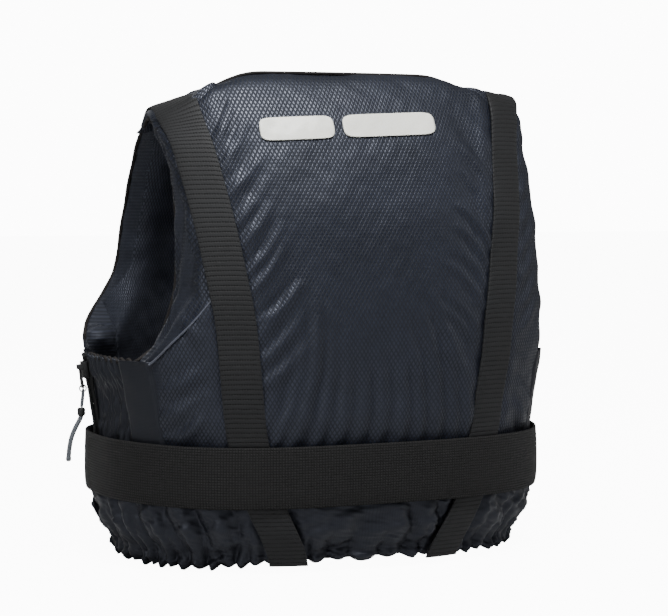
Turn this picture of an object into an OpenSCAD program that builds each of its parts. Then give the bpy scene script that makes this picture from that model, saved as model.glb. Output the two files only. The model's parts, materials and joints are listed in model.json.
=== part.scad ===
// Foam buoyancy vest with a side zip, worn for dinghy sailing.
// Millimetres. +Z is up, the wearer's back faces +Y and the wearer's left is +X.
// The origin lies on the hem's bottom plane, under the middle of the vest.

/* [Vest] */
// Half width at the belt
half_width_belt = 186; // [170:1:200]
// Half depth at the belt
half_depth_belt = 138; // [125:1:150]
// Height of the back neckline above the hem
back_neck_z = 397; // [380:1:410]
// Height of the bottom of the front neckline
front_neck_z = 285; // [270:1:310]
// Height at which the two shoulder covers start on the front
front_shoulder_z = 362; // [356:1:368]
// Squareness of the plan outline (2 is an ellipse)
squareness = 2.4; // [2.2:0.1:2.8]
// Depth of the front as a share of the back's
front_flat = 0.94; // [0.9:0.01:1]

/* [Padding] */
// Depth of the padded panels, from outer fabric to lining
pad_depth = 36; // [30:1:40]
// Depth of one fabric
cloth = 1.6; // [1:0.1:2]
// Margin between a foam slab and the edge of its cover
foam_margin = 5; // [4:1:10]

/* [Webbing] */
// Width of the shoulder webbing
strap_w = 30; // [25:1:40]
// Thickness of the shoulder webbing
strap_thick = 2; // [1.5:0.1:2.5]
// Width of the waist belt
belt_w = 49; // [40:1:52]
// Thickness of the waist belt
belt_thick = 2.2; // [1.5:0.1:2.4]
// Height of the belt's lower edge
belt_z = 54; // [50:1:58]

/* [Side zip] */
// Height of the zip's top end
zip_top = 164; // [160:1:166]
// Height of the slider's middle when the zip is closed
slider_z = 154; // [152:1:155]
// Distance from the middle of the vest to the zip, towards the front
zip_y = 32; // [28:1:34]
// Width of one zip tape
tape_w = 10.5; // [9:0.5:12]

/* [Buckle] */
// Length of the buckle housing along the belt
housing_l = 44; // [40:1:50]
// Depth of the buckle
buckle_d = 13; // [12:0.5:14]

/* [Hidden] */

navy = [0.13, 0.14, 0.18];
navy_light = [0.19, 0.20, 0.25];
foam_grey = [0.75, 0.75, 0.72];
webbing = [0.19, 0.20, 0.21];
belt_black = [0.13, 0.13, 0.14];
plastic = [0.06, 0.06, 0.07];
steel = [0.80, 0.81, 0.82];
cord_grey = [0.62, 0.64, 0.66];
print_grey = [0.86, 0.87, 0.88];

// Plan and profile of the vest: half width, and depth of the back and the front, by height.
belt_top = belt_z + belt_w;
panel_z = belt_z + 10;
HALF_WIDTH = [[0, half_width_belt - 20], [30, half_width_belt - 8], [belt_z, half_width_belt],
    [belt_top, half_width_belt], [165, half_width_belt + 10], [210, half_width_belt + 14],
    [400, half_width_belt + 14]];
GIRTH_DEPTH = [[0, half_depth_belt - 20], [30, half_depth_belt - 6], [belt_z, half_depth_belt],
    [belt_top, half_depth_belt], [165, half_depth_belt + 6]];
BACK_DEPTH = [[belt_z, half_depth_belt], [belt_top, half_depth_belt], [160, half_depth_belt + 7],
    [207, half_depth_belt + 8], [279, half_depth_belt], [330, half_depth_belt - 16],
    [360, half_depth_belt - 30], [385, half_depth_belt - 46], [400, half_depth_belt - 56]];
FRONT_DEPTH = [[belt_z, half_depth_belt], [belt_top, half_depth_belt], [160, half_depth_belt + 6],
    [220, half_depth_belt + 2], [272, half_depth_belt - 12], [310, half_depth_belt - 38],
    [334, half_depth_belt - 67], [352, half_depth_belt - 98], [368, half_depth_belt - 130]];
// Edge of each panel at the armhole, by height.
BACK_EDGE = [[60, 172], [110, 176], [165, 180], [200, 175], [250, 171], [340, 169], [370, 162]];
FRONT_EDGE = [[60, 172], [110, 175], [165, 180], [178, 185], [186, 185], [192, 181], [211, 162], [230, 149],
    [249, 145], [290, 143], [325, 145], [362, 154]];
BACK_TOP = [[0, back_neck_z], [88, back_neck_z], [118, back_neck_z - 12], [140, back_neck_z - 24],
    [165, back_neck_z - 31]];
// Distance of the shoulder webbing from the middle at the top of the shoulder.
crest_x = 140;
// Run of the shoulder webbing across the back, by height.
STRAP_RUN = [[8, 64], [belt_z, 88], [110, 102], [160, 108], [207, 113], [279, 125], [372, crest_x]];
// Run of the webbing on the front, by height.
FRONT_RUN = [[110, 86], [200, 94], [272, 106], [300, 112], [345, 128], [362, crest_x]];

neck_half = 108;
shoulder_in = 118;
shoulder_out = 159;
seam = 1.2;
crest_peak = 391;
shoulder_pad = 9;
strap_gap = 2;
strap_t = -strap_gap - strap_thick;
belt_t = strap_t - 1.4 - belt_thick;
side_t = 6;
foam_t = 4;
foam_split = pad_depth / 2;
lining_t = pad_depth - cloth;
lining_gap = 2.4;
foam_gap = 0.5;
front_slack = 2;
front_foam_drop = 26;
hem_top = 10;
adjuster_z = 286;
adjuster_l = 26;
binding_r = 2.2;

function signed_pow(s) = sign(s) * pow(abs(s), 2 / squareness);
function rim(q) = pow(max(0, 1 - pow(abs(q), squareness)), 1 / squareness);
function mix(a, b, k) = a + (b - a) * k;

// Point on the vest's outline at angle phi from the back, t inwards.
function girth(phi, z, t) = [
    (lookup(z, HALF_WIDTH) - t) * signed_pow(sin(phi)),
    (lookup(z, GIRTH_DEPTH) - t) * signed_pow(cos(phi)) * (cos(phi) < 0 ? front_flat : 1), z];

// Point on the left side at distance y from the middle, t inwards.
function flank(y, z, t) = [
    (lookup(z, HALF_WIDTH) - t) * rim(y / (lookup(z, GIRTH_DEPTH) - t) / (y < 0 ? front_flat : 1)), y, z];

// Point on the back (side 1) or the front (side -1) at x across, t inwards.
function shell(side, x, z, t) = let(
    a = lookup(z, HALF_WIDTH),
    f = rim(x / a),
    depth = lookup(z, side > 0 ? BACK_DEPTH : FRONT_DEPTH))
    [x * (a - t) / a, (side > 0 ? 1 : -front_flat) * (depth - half_depth_belt * (1 - f) - t * f), z];

function back_top(x) = lookup(abs(x), BACK_TOP);
function front_top(x) = abs(x) > neck_half ? front_shoulder_z
    : mix(front_neck_z, front_shoulder_z, pow(abs(x) / neck_half, 2.5));
// Height that keeps the binding clear of the front neckline where it is steep.
function neck_lift(x) = let(
    s = 2.5 * (front_shoulder_z - front_neck_z) / neck_half * pow(abs(x) / neck_half, 1.5))
    (binding_r + 2) * sqrt(1 + s * s) + 2.5;
function panel_top(side, x) = side > 0 ? back_top(x) : front_top(x);
function panel_edge(side, z) = lookup(z, side > 0 ? BACK_EDGE : FRONT_EDGE);

// Point on a panel: u across, v up, inset from its edges by the margin m and from its top by drop.
function panel(side, u, v, t, m, drop) = let(
    x0 = (2 * u - 1) * side * (panel_edge(side, panel_top(side, 150)) - m),
    z = mix(panel_z + m, panel_top(side, x0) - drop, v),
    x = (2 * u - 1) * side * (panel_edge(side, z) - m))
    shell(side, x, z, t);

// Point over the shoulder: p runs from the back panel's top to the front panel's top.
function crest(x, p, t) = let(
    rear = shell(1, x, back_top(x) + seam, t),
    fore = shell(-1, x, front_shoulder_z + seam, t),
    peak = [(rear.x + fore.x) / 2, (rear.y + fore.y) / 2 + 3, crest_peak - 1.8 * t])
    pow(1 - p, 2) * rear + 2 * p * (1 - p) * peak + pow(p, 2) * fore;

function quad(a, b, c, d) = [[a, b, c], [a, c, d]];

// Closed sheet between the offsets t0 (outside) and t1 (inside) of the surface surf(u, v, t),
// where u runs clockwise seen from above and v runs up.
module slab(surf, t0, t1, nu, nv) {
    points = [for (t = [t0, t1], i = [0:nu], j = [0:nv]) surf(i / nu, j / nv, t)];
    function id(s, i, j) = (s * (nu + 1) + i) * (nv + 1) + j;
    cells = [for (i = [0:nu - 1], j = [0:nv - 1]) each concat(
        quad(id(0, i, j), id(0, i + 1, j), id(0, i + 1, j + 1), id(0, i, j + 1)),
        quad(id(1, i, j + 1), id(1, i + 1, j + 1), id(1, i + 1, j), id(1, i, j)))];
    rows = [for (i = [0:nu - 1]) each concat(
        quad(id(0, i + 1, 0), id(0, i, 0), id(1, i, 0), id(1, i + 1, 0)),
        quad(id(0, i, nv), id(0, i + 1, nv), id(1, i + 1, nv), id(1, i, nv)))];
    ends = [for (j = [0:nv - 1]) each concat(
        quad(id(0, 0, j), id(0, 0, j + 1), id(1, 0, j + 1), id(1, 0, j)),
        quad(id(0, nu, j + 1), id(0, nu, j), id(1, nu, j), id(1, nu, j + 1)))];
    polyhedron(points, concat(cells, rows, ends));
}

// Round tube of radius r along a list of points; ref is a direction that the path never takes.
module tube(path, r, sides, ref, closed = false) {
    n = len(path);
    function at(i) = closed ? path[(i + n) % n] : path[max(0, min(n - 1, i))];
    function unit(v) = v / norm(v);
    points = [for (i = [0:n - 1]) let(
        along = unit(at(i + 1) - at(i - 1)),
        across = unit(cross(ref, along)),
        over = cross(along, across))
        for (k = [0:sides - 1]) path[i] + r * (cos(360 * k / sides) * across + sin(360 * k / sides) * over)];
    function id(i, k) = (i % n) * sides + k % sides;
    walls = [for (i = [0:closed ? n - 1 : n - 2], k = [0:sides - 1])
        each quad(id(i, k), id(i + 1, k), id(i + 1, k + 1), id(i, k + 1))];
    caps = closed ? [] : [[for (k = [0:sides - 1]) k], [for (k = [sides - 1:-1:0]) id(n - 1, k)]];
    polyhedron(points, concat(walls, caps));
}

module right_side() {
    mirror([1, 0, 0]) children();
}

// The steep front needs a finer grid than the back.
function across_steps(side) = side > 0 ? 14 : 20;
up_steps = 12;
module cover_layer(side, t0, t1) {
    slab(function(u, v, t) panel(side, u, v, t, 0, 0), t0, t1, across_steps(side), up_steps);
}

// The steep front needs more room between its layers.
module foam_layer(side, t0, t1) {
    drop = side > 0 ? foam_margin : front_foam_drop;
    slack = side > 0 ? 0 : front_slack;
    slab(function(u, v, t) panel(side, u, v, t, foam_margin, drop), t0 + slack, t1 - slack,
        across_steps(side), up_steps);
}

module gusset(side) {
    slab(function(u, v, w) let(
        z = mix(panel_z, panel_top(side, 150) - 2, v),
        depth = mix(foam_t, lining_t - 1, side > 0 ? u : 1 - u))
        shell(side, panel_edge(side, z) - w, z, depth), 0, cloth, 2, up_steps);
}

module gussets(side) {
    gusset(side);
    right_side() gusset(side);
}

module shoulder_layer(t0, t1, m) {
    ends = m / 30;
    slab(function(u, v, t) crest(mix(shoulder_in + m, shoulder_out - m, u), mix(ends, 1 - ends, v), t),
        t0, t1, 4, 16);
}

// The webbing climbs the back from the hem, crosses the shoulder and comes down to the adjuster.
back_share = 0.62;
crest_share = 0.84;
function strap_point(u, v, t) = let(off = (u - 0.5) * strap_w)
    v < back_share
    ? let(z = mix(hem_top + 1, back_top(crest_x) + seam, v / back_share))
        shell_low(lookup(z, STRAP_RUN) + off, z, t)
    : v < crest_share ? crest(crest_x + off, (v - back_share) / (crest_share - back_share), t)
    : let(z = mix(front_shoulder_z + seam, adjuster_z + adjuster_l / 2 + 3,
            (v - crest_share) / (1 - crest_share)))
        shell(-1, lookup(z, FRONT_RUN) + off, z, t);
// Below the panels the back follows the outline of the skirt.
function shell_low(x, z, t) = z > belt_z ? shell(1, x, z, t)
    : let(a = lookup(z, HALF_WIDTH), b = lookup(z, GIRTH_DEPTH)) [x * (a - t) / a, (b - t) * rim(x / a), z];

module shoulder_strap() {
    slab(function(u, v, t) strap_point(u, v, t), strap_t, -strap_gap, 2, 44);
}

// The front strap rises from under the belt to the adjuster.
module front_strap() {
    top = adjuster_z - adjuster_l / 2 - 3;
    slab(function(u, v, t) let(z = mix(panel_z, top, v))
        shell(-1, lookup(z, FRONT_RUN) + (0.5 - u) * strap_w, z, t), strap_t, -strap_gap, 2, 18);
}

module strap_tail() {
    top = adjuster_z - adjuster_l / 2 - 3;
    slab(function(u, v, t) let(z = mix(top - 70, top, v))
        shell(-1, lookup(z, FRONT_RUN) + (0.5 - u) * (strap_w - 2), z, t), strap_t - 3.4, strap_t - 1.4, 2, 8);
}

// Frame that leans with the front of the shoulder at the adjuster.
function adjuster_at() = shell(-1, lookup(adjuster_z, FRONT_RUN), adjuster_z, strap_t - 1.5);
adjuster_lean = -22;
adjuster_turn = 20;
adjuster_thick = 3;
module adjuster() {
    at = adjuster_at();
    bar = 4;
    side_w = strap_w + 8;
    translate(at) rotate([0, 0, adjuster_turn]) rotate([adjuster_lean, 0, 0])
        difference() {
            translate([-side_w / 2, -adjuster_thick, -adjuster_l / 2])
                cube([side_w, adjuster_thick, adjuster_l]);
            for (z = [-adjuster_l / 2 + bar, bar / 2])
                translate([-strap_w / 2 - 1, -adjuster_thick - 1, z])
                    cube([strap_w + 2, adjuster_thick + 2, adjuster_l / 2 - 1.5 * bar]);
        }
}

// Distance of a side panel's ends from the middle, by height: they stop short of the padded edges.
SIDE_END = [[panel_z, 55], [165, 63.5]];
function from_rear(z) = lookup(z, SIDE_END);
function from_front(z) = 3 - front_flat * lookup(z, SIDE_END);
zip_rear_y = -zip_y + tape_w + 1;
zip_front_y = -zip_y - tape_w - 1;

// Side cloth from the rear end to y1, or from y0 to the front end.
module side_cloth(y0, y1) {
    slab(function(u, v, t) let(z = mix(panel_z, zip_top - 2, v))
        flank(mix(is_undef(y0) ? from_rear(z) : y0, is_undef(y1) ? from_front(z) : y1, u), z, t),
        side_t, side_t + cloth, 8, 6);
}

module elastic(z) {
    slab(function(u, v, t) flank(mix(from_rear(z) - 8, zip_rear_y + 5, u), z + 8 * v, t),
        side_t + 3, side_t + 4.2, 8, 1);
}

// Point on the zip: w across it towards the front, straight between the belt and the zip's top.
zip_phi = 100;
zip_t = 3.4;
function zip_line(w, z, t) = [girth(zip_phi, z, t).x, -zip_y - w, z];
zip_lean = atan2(girth(zip_phi, 165, 0).x - girth(zip_phi, belt_top, 0).x, 165 - belt_top);

module zip_strip(w0, w1, t0, t1, z0) {
    slab(function(u, v, t) zip_line(mix(w0, w1, u), mix(z0, zip_top, v), t), t0, t1, 1, 14);
}

coil_gap = 0.7;
coil_w = 2.5;
coil_t = 1.2;
module zip_coil(w0) {
    zip_strip(w0, w0 + coil_w, coil_t, zip_t - 0.1, hem_top + 4);
}

// The slider's own frame: x outwards, y across, z up along the zip.
module on_slider() {
    translate(zip_line(0, slider_z, zip_t)) rotate([0, zip_lean, 0]) children();
}

coil_out = zip_t - coil_t;
plate_in = coil_out + 0.5;
plate_thick = 1.4;
slider_l = 14;
lug_x = plate_in + plate_thick + 2.2;
pin_z = 3;
pin_r = 0.9;
rail_in = 0.6;
rail_w = 1.6;
back_plate_x = 3;
back_plate_thick = 1.2;
wedge_w = 0.7;
wedge_l = 3;
lug_y = 3;
lug_w = 1.4;
module slider_body() {
    half = coil_gap + coil_w + 0.5;
    on_slider() {
        difference() {
            translate([rail_in, -half - rail_w, -slider_l / 2])
                cube([plate_in + plate_thick - rail_in, 2 * (half + rail_w), slider_l]);
            translate([-1, -half, -slider_l]) cube([plate_in + 1, 2 * half, 2 * slider_l]);
        }
        translate([-back_plate_x, -half - rail_w, -slider_l / 2])
            cube([back_plate_thick, 2 * (half + rail_w), slider_l]);
        translate([-back_plate_x, -wedge_w / 2, slider_l / 2 - wedge_l])
            cube([plate_in + back_plate_x + 1, wedge_w, wedge_l]);
        for (side = [-1, 1])
            translate([plate_in + 0.5, side * lug_y - lug_w / 2, pin_z - 2])
                cube([lug_x - plate_in + 1.2, lug_w, 4]);
        translate([lug_x, lug_y, pin_z]) rotate([90, 0, 0]) cylinder(r = pin_r, h = 2 * lug_y, $fn = 24);
    }
}

tab_end = -15;
tab_thick = 1.6;
tab_w = 6.4;
tab_neck_w = 3.8;
tab_wide_l = 9;
tab_hole_r = 1.7;
ring_z = -15.2;
ring_r = 2.8;
module pull_tab() {
    on_slider() difference() {
        union() {
            translate([lug_x, tab_neck_w / 2, pin_z]) rotate([90, 0, 0])
                cylinder(r = 2, h = tab_neck_w, $fn = 32);
            translate([lug_x - tab_thick / 2, -tab_neck_w / 2, tab_end + 6])
                cube([tab_thick, tab_neck_w, pin_z - tab_end - 6]);
            translate([lug_x - tab_thick / 2, -tab_w / 2, tab_end]) cube([tab_thick, tab_w, tab_wide_l]);
        }
        translate([lug_x, lug_y, pin_z]) rotate([90, 0, 0]) cylinder(r = pin_r + 0.1, h = 2 * lug_y, $fn = 24);
        translate([lug_x - 2, 0, tab_end + 2.6]) rotate([0, 90, 0]) cylinder(r = tab_hole_r, h = 4, $fn = 24);
    }
}

module pull_ring() {
    on_slider() translate([lug_x, 0, ring_z]) rotate([90, 0, 0])
        rotate_extrude($fn = 48) translate([ring_r, 0]) circle(r = 0.6, $fn = 16);
}

// Route of the thin cord from the lock, through the ring and back.
LOOP_ROUTE = [[193.5, -33.3, 122.4], [193.2, -33.9, 125], [192.8, -34.2, 128], [192.4, -34, 131.5],
    [192.1, -33.7, 134.8], [192, -32.9, 136.7], [192, -32, 137.05], [192, -31.1, 136.7], [192.1, -30.3, 134.8],
    [192.4, -30, 131.5], [192.8, -29.8, 128], [193.2, -30.1, 125], [193.5, -30.7, 122.4]];
// Route of the thick tail from the lock down over the belt.
TAIL_ROUTE = [[194.1, -32, 114.3], [195.3, -32, 111.6], [197.2, -32, 108.2], [199.2, -32.1, 104.4],
    [201, -32.4, 100.2], [202.4, -32.8, 95.8], [203.3, -33.2, 91], [203.9, -33.6, 86.5], [204.2, -34, 82]];
loop_r = 0.9;
tail_r = 2;

// The belt runs round the back between the two halves of its buckle.
belt_phi = 166;
// Its loose tail, on the front, from one angle to the other.
tail_phi = [122, 163];
tail_t = belt_t - belt_thick - 1.2;

// The keeper is a flat loop round the belt and its tail, square to the belt at its place.
keeper_phi = 139;
keeper_w = 14;
module keeper() {
    at = girth(keeper_phi, belt_z + belt_w / 2, (belt_t + tail_t + belt_thick) / 2);
    along = girth(keeper_phi + 1, 0, 0) - girth(keeper_phi - 1, 0, 0);
    inner = [2 * keeper_w, 2 * belt_thick + 4.2, belt_w + 5];
    rim_w = 1.8;
    translate(at) rotate([0, 0, atan2(along.y, along.x)]) difference() {
        cube([keeper_w, inner.y + 2 * rim_w, inner.z + 2 * rim_w], center = true);
        cube(inner, center = true);
    }
}

// Side-release buckle at the front centre. Its own frame: y outwards is -Y.
buckle_y = front_flat * (belt_t - half_depth_belt) - 1;
buckle_z = belt_z + belt_w / 2;
buckle_h = belt_w + 12;
wall = 2.4;
module block(x0, x1, y0, y1, z0, z1) {
    translate([x0, buckle_y - y1, buckle_z + z0]) cube([x1 - x0, y1 - y0, z1 - z0]);
}

// Slot for the belt near each end of the buckle.
slot_in = 3;
slot_l = 5;
prong_z = 21;
prong_half = 3.2;
module housing_body() {
    difference() {
        block(-housing_l, -2, 0, buckle_d, -buckle_h / 2, buckle_h / 2);
        block(-housing_l + 11, 0, wall, buckle_d - wall, -buckle_h / 2 + wall, buckle_h / 2 - wall);
        block(-32, -10, wall, buckle_d - wall, -buckle_h, buckle_h);
        block(-housing_l + slot_in, -housing_l + slot_in + slot_l, -1, buckle_d + 1,
            -belt_w / 2 - 1, belt_w / 2 + 1);
    }
}

module insert_body() {
    difference() {
        block(2, housing_l, 0, buckle_d, -buckle_h / 2, buckle_h / 2);
        block(1, 14, -1, buckle_d + 1, -buckle_h / 2 + wall, -prong_z + 12);
        block(1, 14, -1, buckle_d + 1, prong_z - 12, buckle_h / 2 - wall);
        block(housing_l - slot_in - slot_l, housing_l - slot_in, -1, buckle_d + 1,
            -belt_w / 2 - 1, belt_w / 2 + 1);
        block(17, 32, -1, 3, -buckle_h / 2 + 6, buckle_h / 2 - 6);
    }
    block(-26, 8, 4, buckle_d - 4, -3, 3);
}

prong_root = 12;
module prong() {
    block(-30, prong_root, 4, buckle_d - 4, prong_z - prong_half, prong_z + prong_half);
    block(-30, -13, 4, buckle_d - 4, prong_z, prong_z + prong_half + 5.5);
    translate([prong_root, buckle_y - 4, buckle_z + prong_z])
        rotate([90, 0, 0]) cylinder(r = 1.4, h = buckle_d - 8, $fn = 24);
}

hem_from = 108;
hem_to = 455.5;
hem_steps = 56;
module hem_slab(t0, t1, z0, z1, nv, trim) {
    slab(function(u, v, t) girth(mix(hem_from + trim, hem_to - trim, u), mix(z0, z1, v), t),
        t0, t1, hem_steps, nv);
}

// Channel with an open groove for the elastic: its section, as offset inwards and height.
HEM_SECTION = [[-1.4, 0], [5, 0], [5, hem_top], [3.4, hem_top], [3.4, 2], [0.4, 2], [0.4, hem_top],
    [-1.4, hem_top]];
module hem_tunnel() {
    turns = hem_steps;
    n = len(HEM_SECTION);
    points = [for (i = [0:turns], q = HEM_SECTION) girth(mix(hem_from, hem_to, i / turns), q[1], q[0])];
    function id(i, k) = i * n + k % n;
    walls = [for (i = [0:turns - 1], k = [0:n - 1])
        each quad(id(i, k), id(i, k + 1), id(i + 1, k + 1), id(i + 1, k))];
    caps = [[for (k = [n - 1:-1:0]) k], [for (k = [0:n - 1]) id(turns, k)]];
    polyhedron(points, concat(walls, caps));
}

function neck_path() = concat(
    [for (x = [-104:13:104]) shell(1, x, back_top(x) + binding_r + 1, 3)],
    [for (p = [0.2:0.15:0.8]) crest(shoulder_in - binding_r - 1, p, 3)],
    [for (x = [104:-13:-104]) shell(-1, x, front_top(x) + neck_lift(x), 3)],
    [for (p = [0.8:-0.15:0.2]) let(q = crest(shoulder_in - binding_r - 1, p, 3)) [-q.x, q.y, q.z]]);

// Room between the binding and the front panel's edge: more where the edge slopes.
function edge_lift(z) = z > 186 && z < 236 ? 3.6 : 2.2;

// Path round an armhole; the gap is the opening left for the zip, as a share of the side.
function armhole_path(open) = concat(
    [for (y = open ? [-50, -62] : [-10, -28, -46, -62]) flank(y, zip_top + binding_r + 1, side_t)],
    [for (z = [174:7:356]) shell(-1, panel_edge(-1, z) + binding_r + edge_lift(z), z, 2)],
    [for (p = [0.8:-0.15:0.2]) crest(shoulder_out + binding_r + 6, p, 3)],
    [for (z = [358:-14:176]) shell(1, panel_edge(1, z) + binding_r + 1.2, z, 2)],
    [for (y = open ? [56, 36, 14, -10] : [56, 36, 14]) flank(y, zip_top + binding_r + 1, side_t)]);

module back_outer_fabric() {
    color(navy) cover_layer(1, 0, cloth);
}
module back_foam_outer() {
    color(foam_grey) foam_layer(1, foam_t, foam_split - foam_gap);
}
module back_foam_inner() {
    color(foam_grey) foam_layer(1, foam_split + foam_gap, lining_t - lining_gap);
}
module back_lining() {
    color(navy) cover_layer(1, lining_t, pad_depth);
}
module back_gussets() {
    color(navy_light) gussets(1);
}
module front_outer_fabric() {
    color(navy) cover_layer(-1, 0, cloth);
}
module front_foam_outer() {
    color(foam_grey) foam_layer(-1, foam_t, foam_split - foam_gap);
}
module front_foam_inner() {
    color(foam_grey) foam_layer(-1, foam_split + foam_gap, lining_t - lining_gap);
}
module front_lining() {
    color(navy) cover_layer(-1, lining_t, pad_depth);
}
module front_gussets() {
    color(navy_light) gussets(-1);
}
module shoulder_cover_left() {
    color(navy) shoulder_layer(0, cloth, 0);
}
module shoulder_cover_right() {
    right_side() shoulder_cover_left();
}
module shoulder_foam_left() {
    color(foam_grey) shoulder_layer(foam_t, shoulder_pad, 3);
}
module shoulder_foam_right() {
    right_side() shoulder_foam_left();
}
module shoulder_strap_left() {
    color(webbing) shoulder_strap();
}
module shoulder_strap_right() {
    right_side() shoulder_strap_left();
}
module strap_adjuster_left() {
    color(plastic) adjuster();
}
module strap_adjuster_right() {
    right_side() strap_adjuster_left();
}
module front_strap_left() {
    color(webbing) front_strap();
}
module front_strap_right() {
    right_side() front_strap_left();
}
module strap_tail_left() {
    color(webbing) strap_tail();
}
module strap_tail_right() {
    right_side() strap_tail_left();
}
module side_panel_left_rear() {
    color(navy_light) side_cloth(undef, zip_rear_y);
}
module side_panel_left_front() {
    color(navy_light) side_cloth(zip_front_y, undef);
}
module side_panel_right() {
    color(navy_light) right_side() side_cloth(undef, undef);
}
module side_elastics() {
    color(belt_black) for (z = [80, 112, 140]) {
        elastic(z);
        right_side() elastic(z);
    }
}
module zip_tape_rear() {
    color(belt_black) zip_strip(-tape_w, -coil_gap - 0.3, zip_t, zip_t + 0.8, hem_top + 4);
}
module zip_tape_front() {
    color(belt_black) zip_strip(coil_gap + 0.3, tape_w, zip_t, zip_t + 0.8, hem_top + 4);
}
module zip_coil_rear() {
    color(plastic) zip_coil(-coil_gap - coil_w);
}
module zip_coil_front() {
    color(plastic) zip_coil(coil_gap);
}
module zip_stops() {
    color(plastic) for (w = [-coil_gap - coil_w, coil_gap])
        slab(function(u, v, t) zip_line(w + coil_w * u, zip_top + 0.4 + 2.4 * v, t), coil_t, zip_t + 0.8, 1, 1);
    color(plastic) slab(function(u, v, t) zip_line(mix(-5, 5, u), hem_top - 8 + 11.4 * v, t),
        coil_t, zip_t + 2, 1, 1);
}
module zip_slider() {
    color(plastic) slider_body();
}
module zip_pull_tab() {
    color(plastic) pull_tab();
}
module zip_pull_ring() {
    color(steel) pull_ring();
}
module zip_pull_cord() {
    color(cord_grey) tube(LOOP_ROUTE, loop_r, 8, [1, 0, 0]);
}
module zip_cord_lock() {
    color(plastic) translate([193.7, -zip_y, 115]) {
        cylinder(r = 3, h = 7, $fn = 32);
        translate([0, 0, 1.5]) cylinder(r = 3.4, h = 4, $fn = 32);
    }
}
module zip_cord_tail() {
    color(cord_grey) tube(TAIL_ROUTE, tail_r, 8, [0, 1, 0]);
}
module zip_cord_end() {
    color(cord_grey) translate([204.3, -34.2, 77]) cylinder(r = 2.3, h = 4.2, $fn = 24);
}
module waist_belt() {
    color(belt_black)
        slab(function(u, v, t) girth(mix(-belt_phi, belt_phi, u), mix(belt_z, belt_top, v), t),
            belt_t, belt_t + belt_thick, 64, 2);
}
module belt_tail() {
    color(belt_black)
        slab(function(u, v, t) girth(mix(tail_phi[0], tail_phi[1], u), mix(belt_z + 1, belt_top - 1, v), t),
            tail_t, tail_t + belt_thick, 12, 1);
}
module belt_keeper() {
    color(plastic) keeper();
}
module buckle_housing() {
    color(plastic) housing_body();
}
module buckle_insert() {
    color(plastic) insert_body();
}
module buckle_prong_upper() {
    color(plastic) prong();
}
module buckle_prong_lower() {
    translate([0, 0, 2 * buckle_z]) mirror([0, 0, 1]) buckle_prong_upper();
}
module hem_skirt() {
    color(navy) hem_slab(0.6, 2.2, hem_top + 0.6, panel_z - 1.4, 3, 0);
}
module hem_channel() {
    color(navy) hem_tunnel();
}
module hem_elastic() {
    color(belt_black) hem_slab(0.9, 2.9, 2.6, hem_top - 1, 1, 2);
}
module neck_binding() {
    color(belt_black) tube(neck_path(), binding_r, 8, [0, 0, 1], true);
}
module armhole_binding_left() {
    color(belt_black) tube(armhole_path(true), binding_r, 8, [1, 0, 0]);
}
module armhole_binding_right() {
    color(belt_black) right_side() tube(armhole_path(false), binding_r, 8, [1, 0, 0], true);
}
module reflective_bars() {
    color(print_grey) for (bar = [[-66, 16], [24, 84]])
        slab(function(u, v, t) shell(1, mix(bar[0], bar[1], u), mix(344, 364, v), t), -1.3, -0.6, 6, 2);
}

back_outer_fabric();
back_foam_outer();
back_foam_inner();
back_lining();
back_gussets();
front_outer_fabric();
front_foam_outer();
front_foam_inner();
front_lining();
front_gussets();
shoulder_cover_left();
shoulder_cover_right();
shoulder_foam_left();
shoulder_foam_right();
shoulder_strap_left();
shoulder_strap_right();
strap_adjuster_left();
strap_adjuster_right();
front_strap_left();
front_strap_right();
strap_tail_left();
strap_tail_right();
side_panel_left_rear();
side_panel_left_front();
side_panel_right();
side_elastics();
zip_tape_rear();
zip_tape_front();
zip_coil_rear();
zip_coil_front();
zip_stops();
zip_slider();
zip_pull_tab();
zip_pull_ring();
zip_pull_cord();
zip_cord_lock();
zip_cord_tail();
zip_cord_end();
waist_belt();
belt_tail();
belt_keeper();
buckle_housing();
buckle_insert();
buckle_prong_upper();
buckle_prong_lower();
hem_skirt();
hem_channel();
hem_elastic();
neck_binding();
armhole_binding_left();
armhole_binding_right();
reflective_bars();
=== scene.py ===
"""Foam buoyancy vest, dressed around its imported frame.

Lengths in the classes below are millimetres and become metres when a mesh is made. The wearer's back
faces +Y, the wearer's left is +X, and the hem stands on z = 0.
"""

from __future__ import annotations

import json
import logging
import math
from dataclasses import dataclass, field
from enum import Enum
from typing import Callable

import bpy
import numpy as np
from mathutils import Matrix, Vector
from mathutils.bvhtree import BVHTree

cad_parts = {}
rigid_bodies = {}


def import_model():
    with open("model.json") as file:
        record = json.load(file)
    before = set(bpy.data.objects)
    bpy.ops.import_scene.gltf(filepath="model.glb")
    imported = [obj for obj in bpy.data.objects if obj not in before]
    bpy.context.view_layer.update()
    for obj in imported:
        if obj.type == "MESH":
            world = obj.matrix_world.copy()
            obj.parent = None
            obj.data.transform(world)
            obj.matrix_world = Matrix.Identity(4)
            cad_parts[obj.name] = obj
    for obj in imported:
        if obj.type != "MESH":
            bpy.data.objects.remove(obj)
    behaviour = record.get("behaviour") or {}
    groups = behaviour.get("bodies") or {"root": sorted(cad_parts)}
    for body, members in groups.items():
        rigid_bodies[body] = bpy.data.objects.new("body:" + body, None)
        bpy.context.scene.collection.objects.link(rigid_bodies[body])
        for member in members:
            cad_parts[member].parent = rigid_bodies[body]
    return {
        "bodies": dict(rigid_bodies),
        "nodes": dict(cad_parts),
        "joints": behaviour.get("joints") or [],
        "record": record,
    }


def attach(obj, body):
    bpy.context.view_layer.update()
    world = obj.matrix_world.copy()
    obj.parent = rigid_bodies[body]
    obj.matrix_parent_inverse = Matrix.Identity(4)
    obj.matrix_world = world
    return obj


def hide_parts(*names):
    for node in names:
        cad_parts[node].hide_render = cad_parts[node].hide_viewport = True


LOG = logging.getLogger("vest")
MM = 0.001
WEAVE_MAP = "weave"
Pin = Callable[[np.ndarray], np.ndarray]


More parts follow.
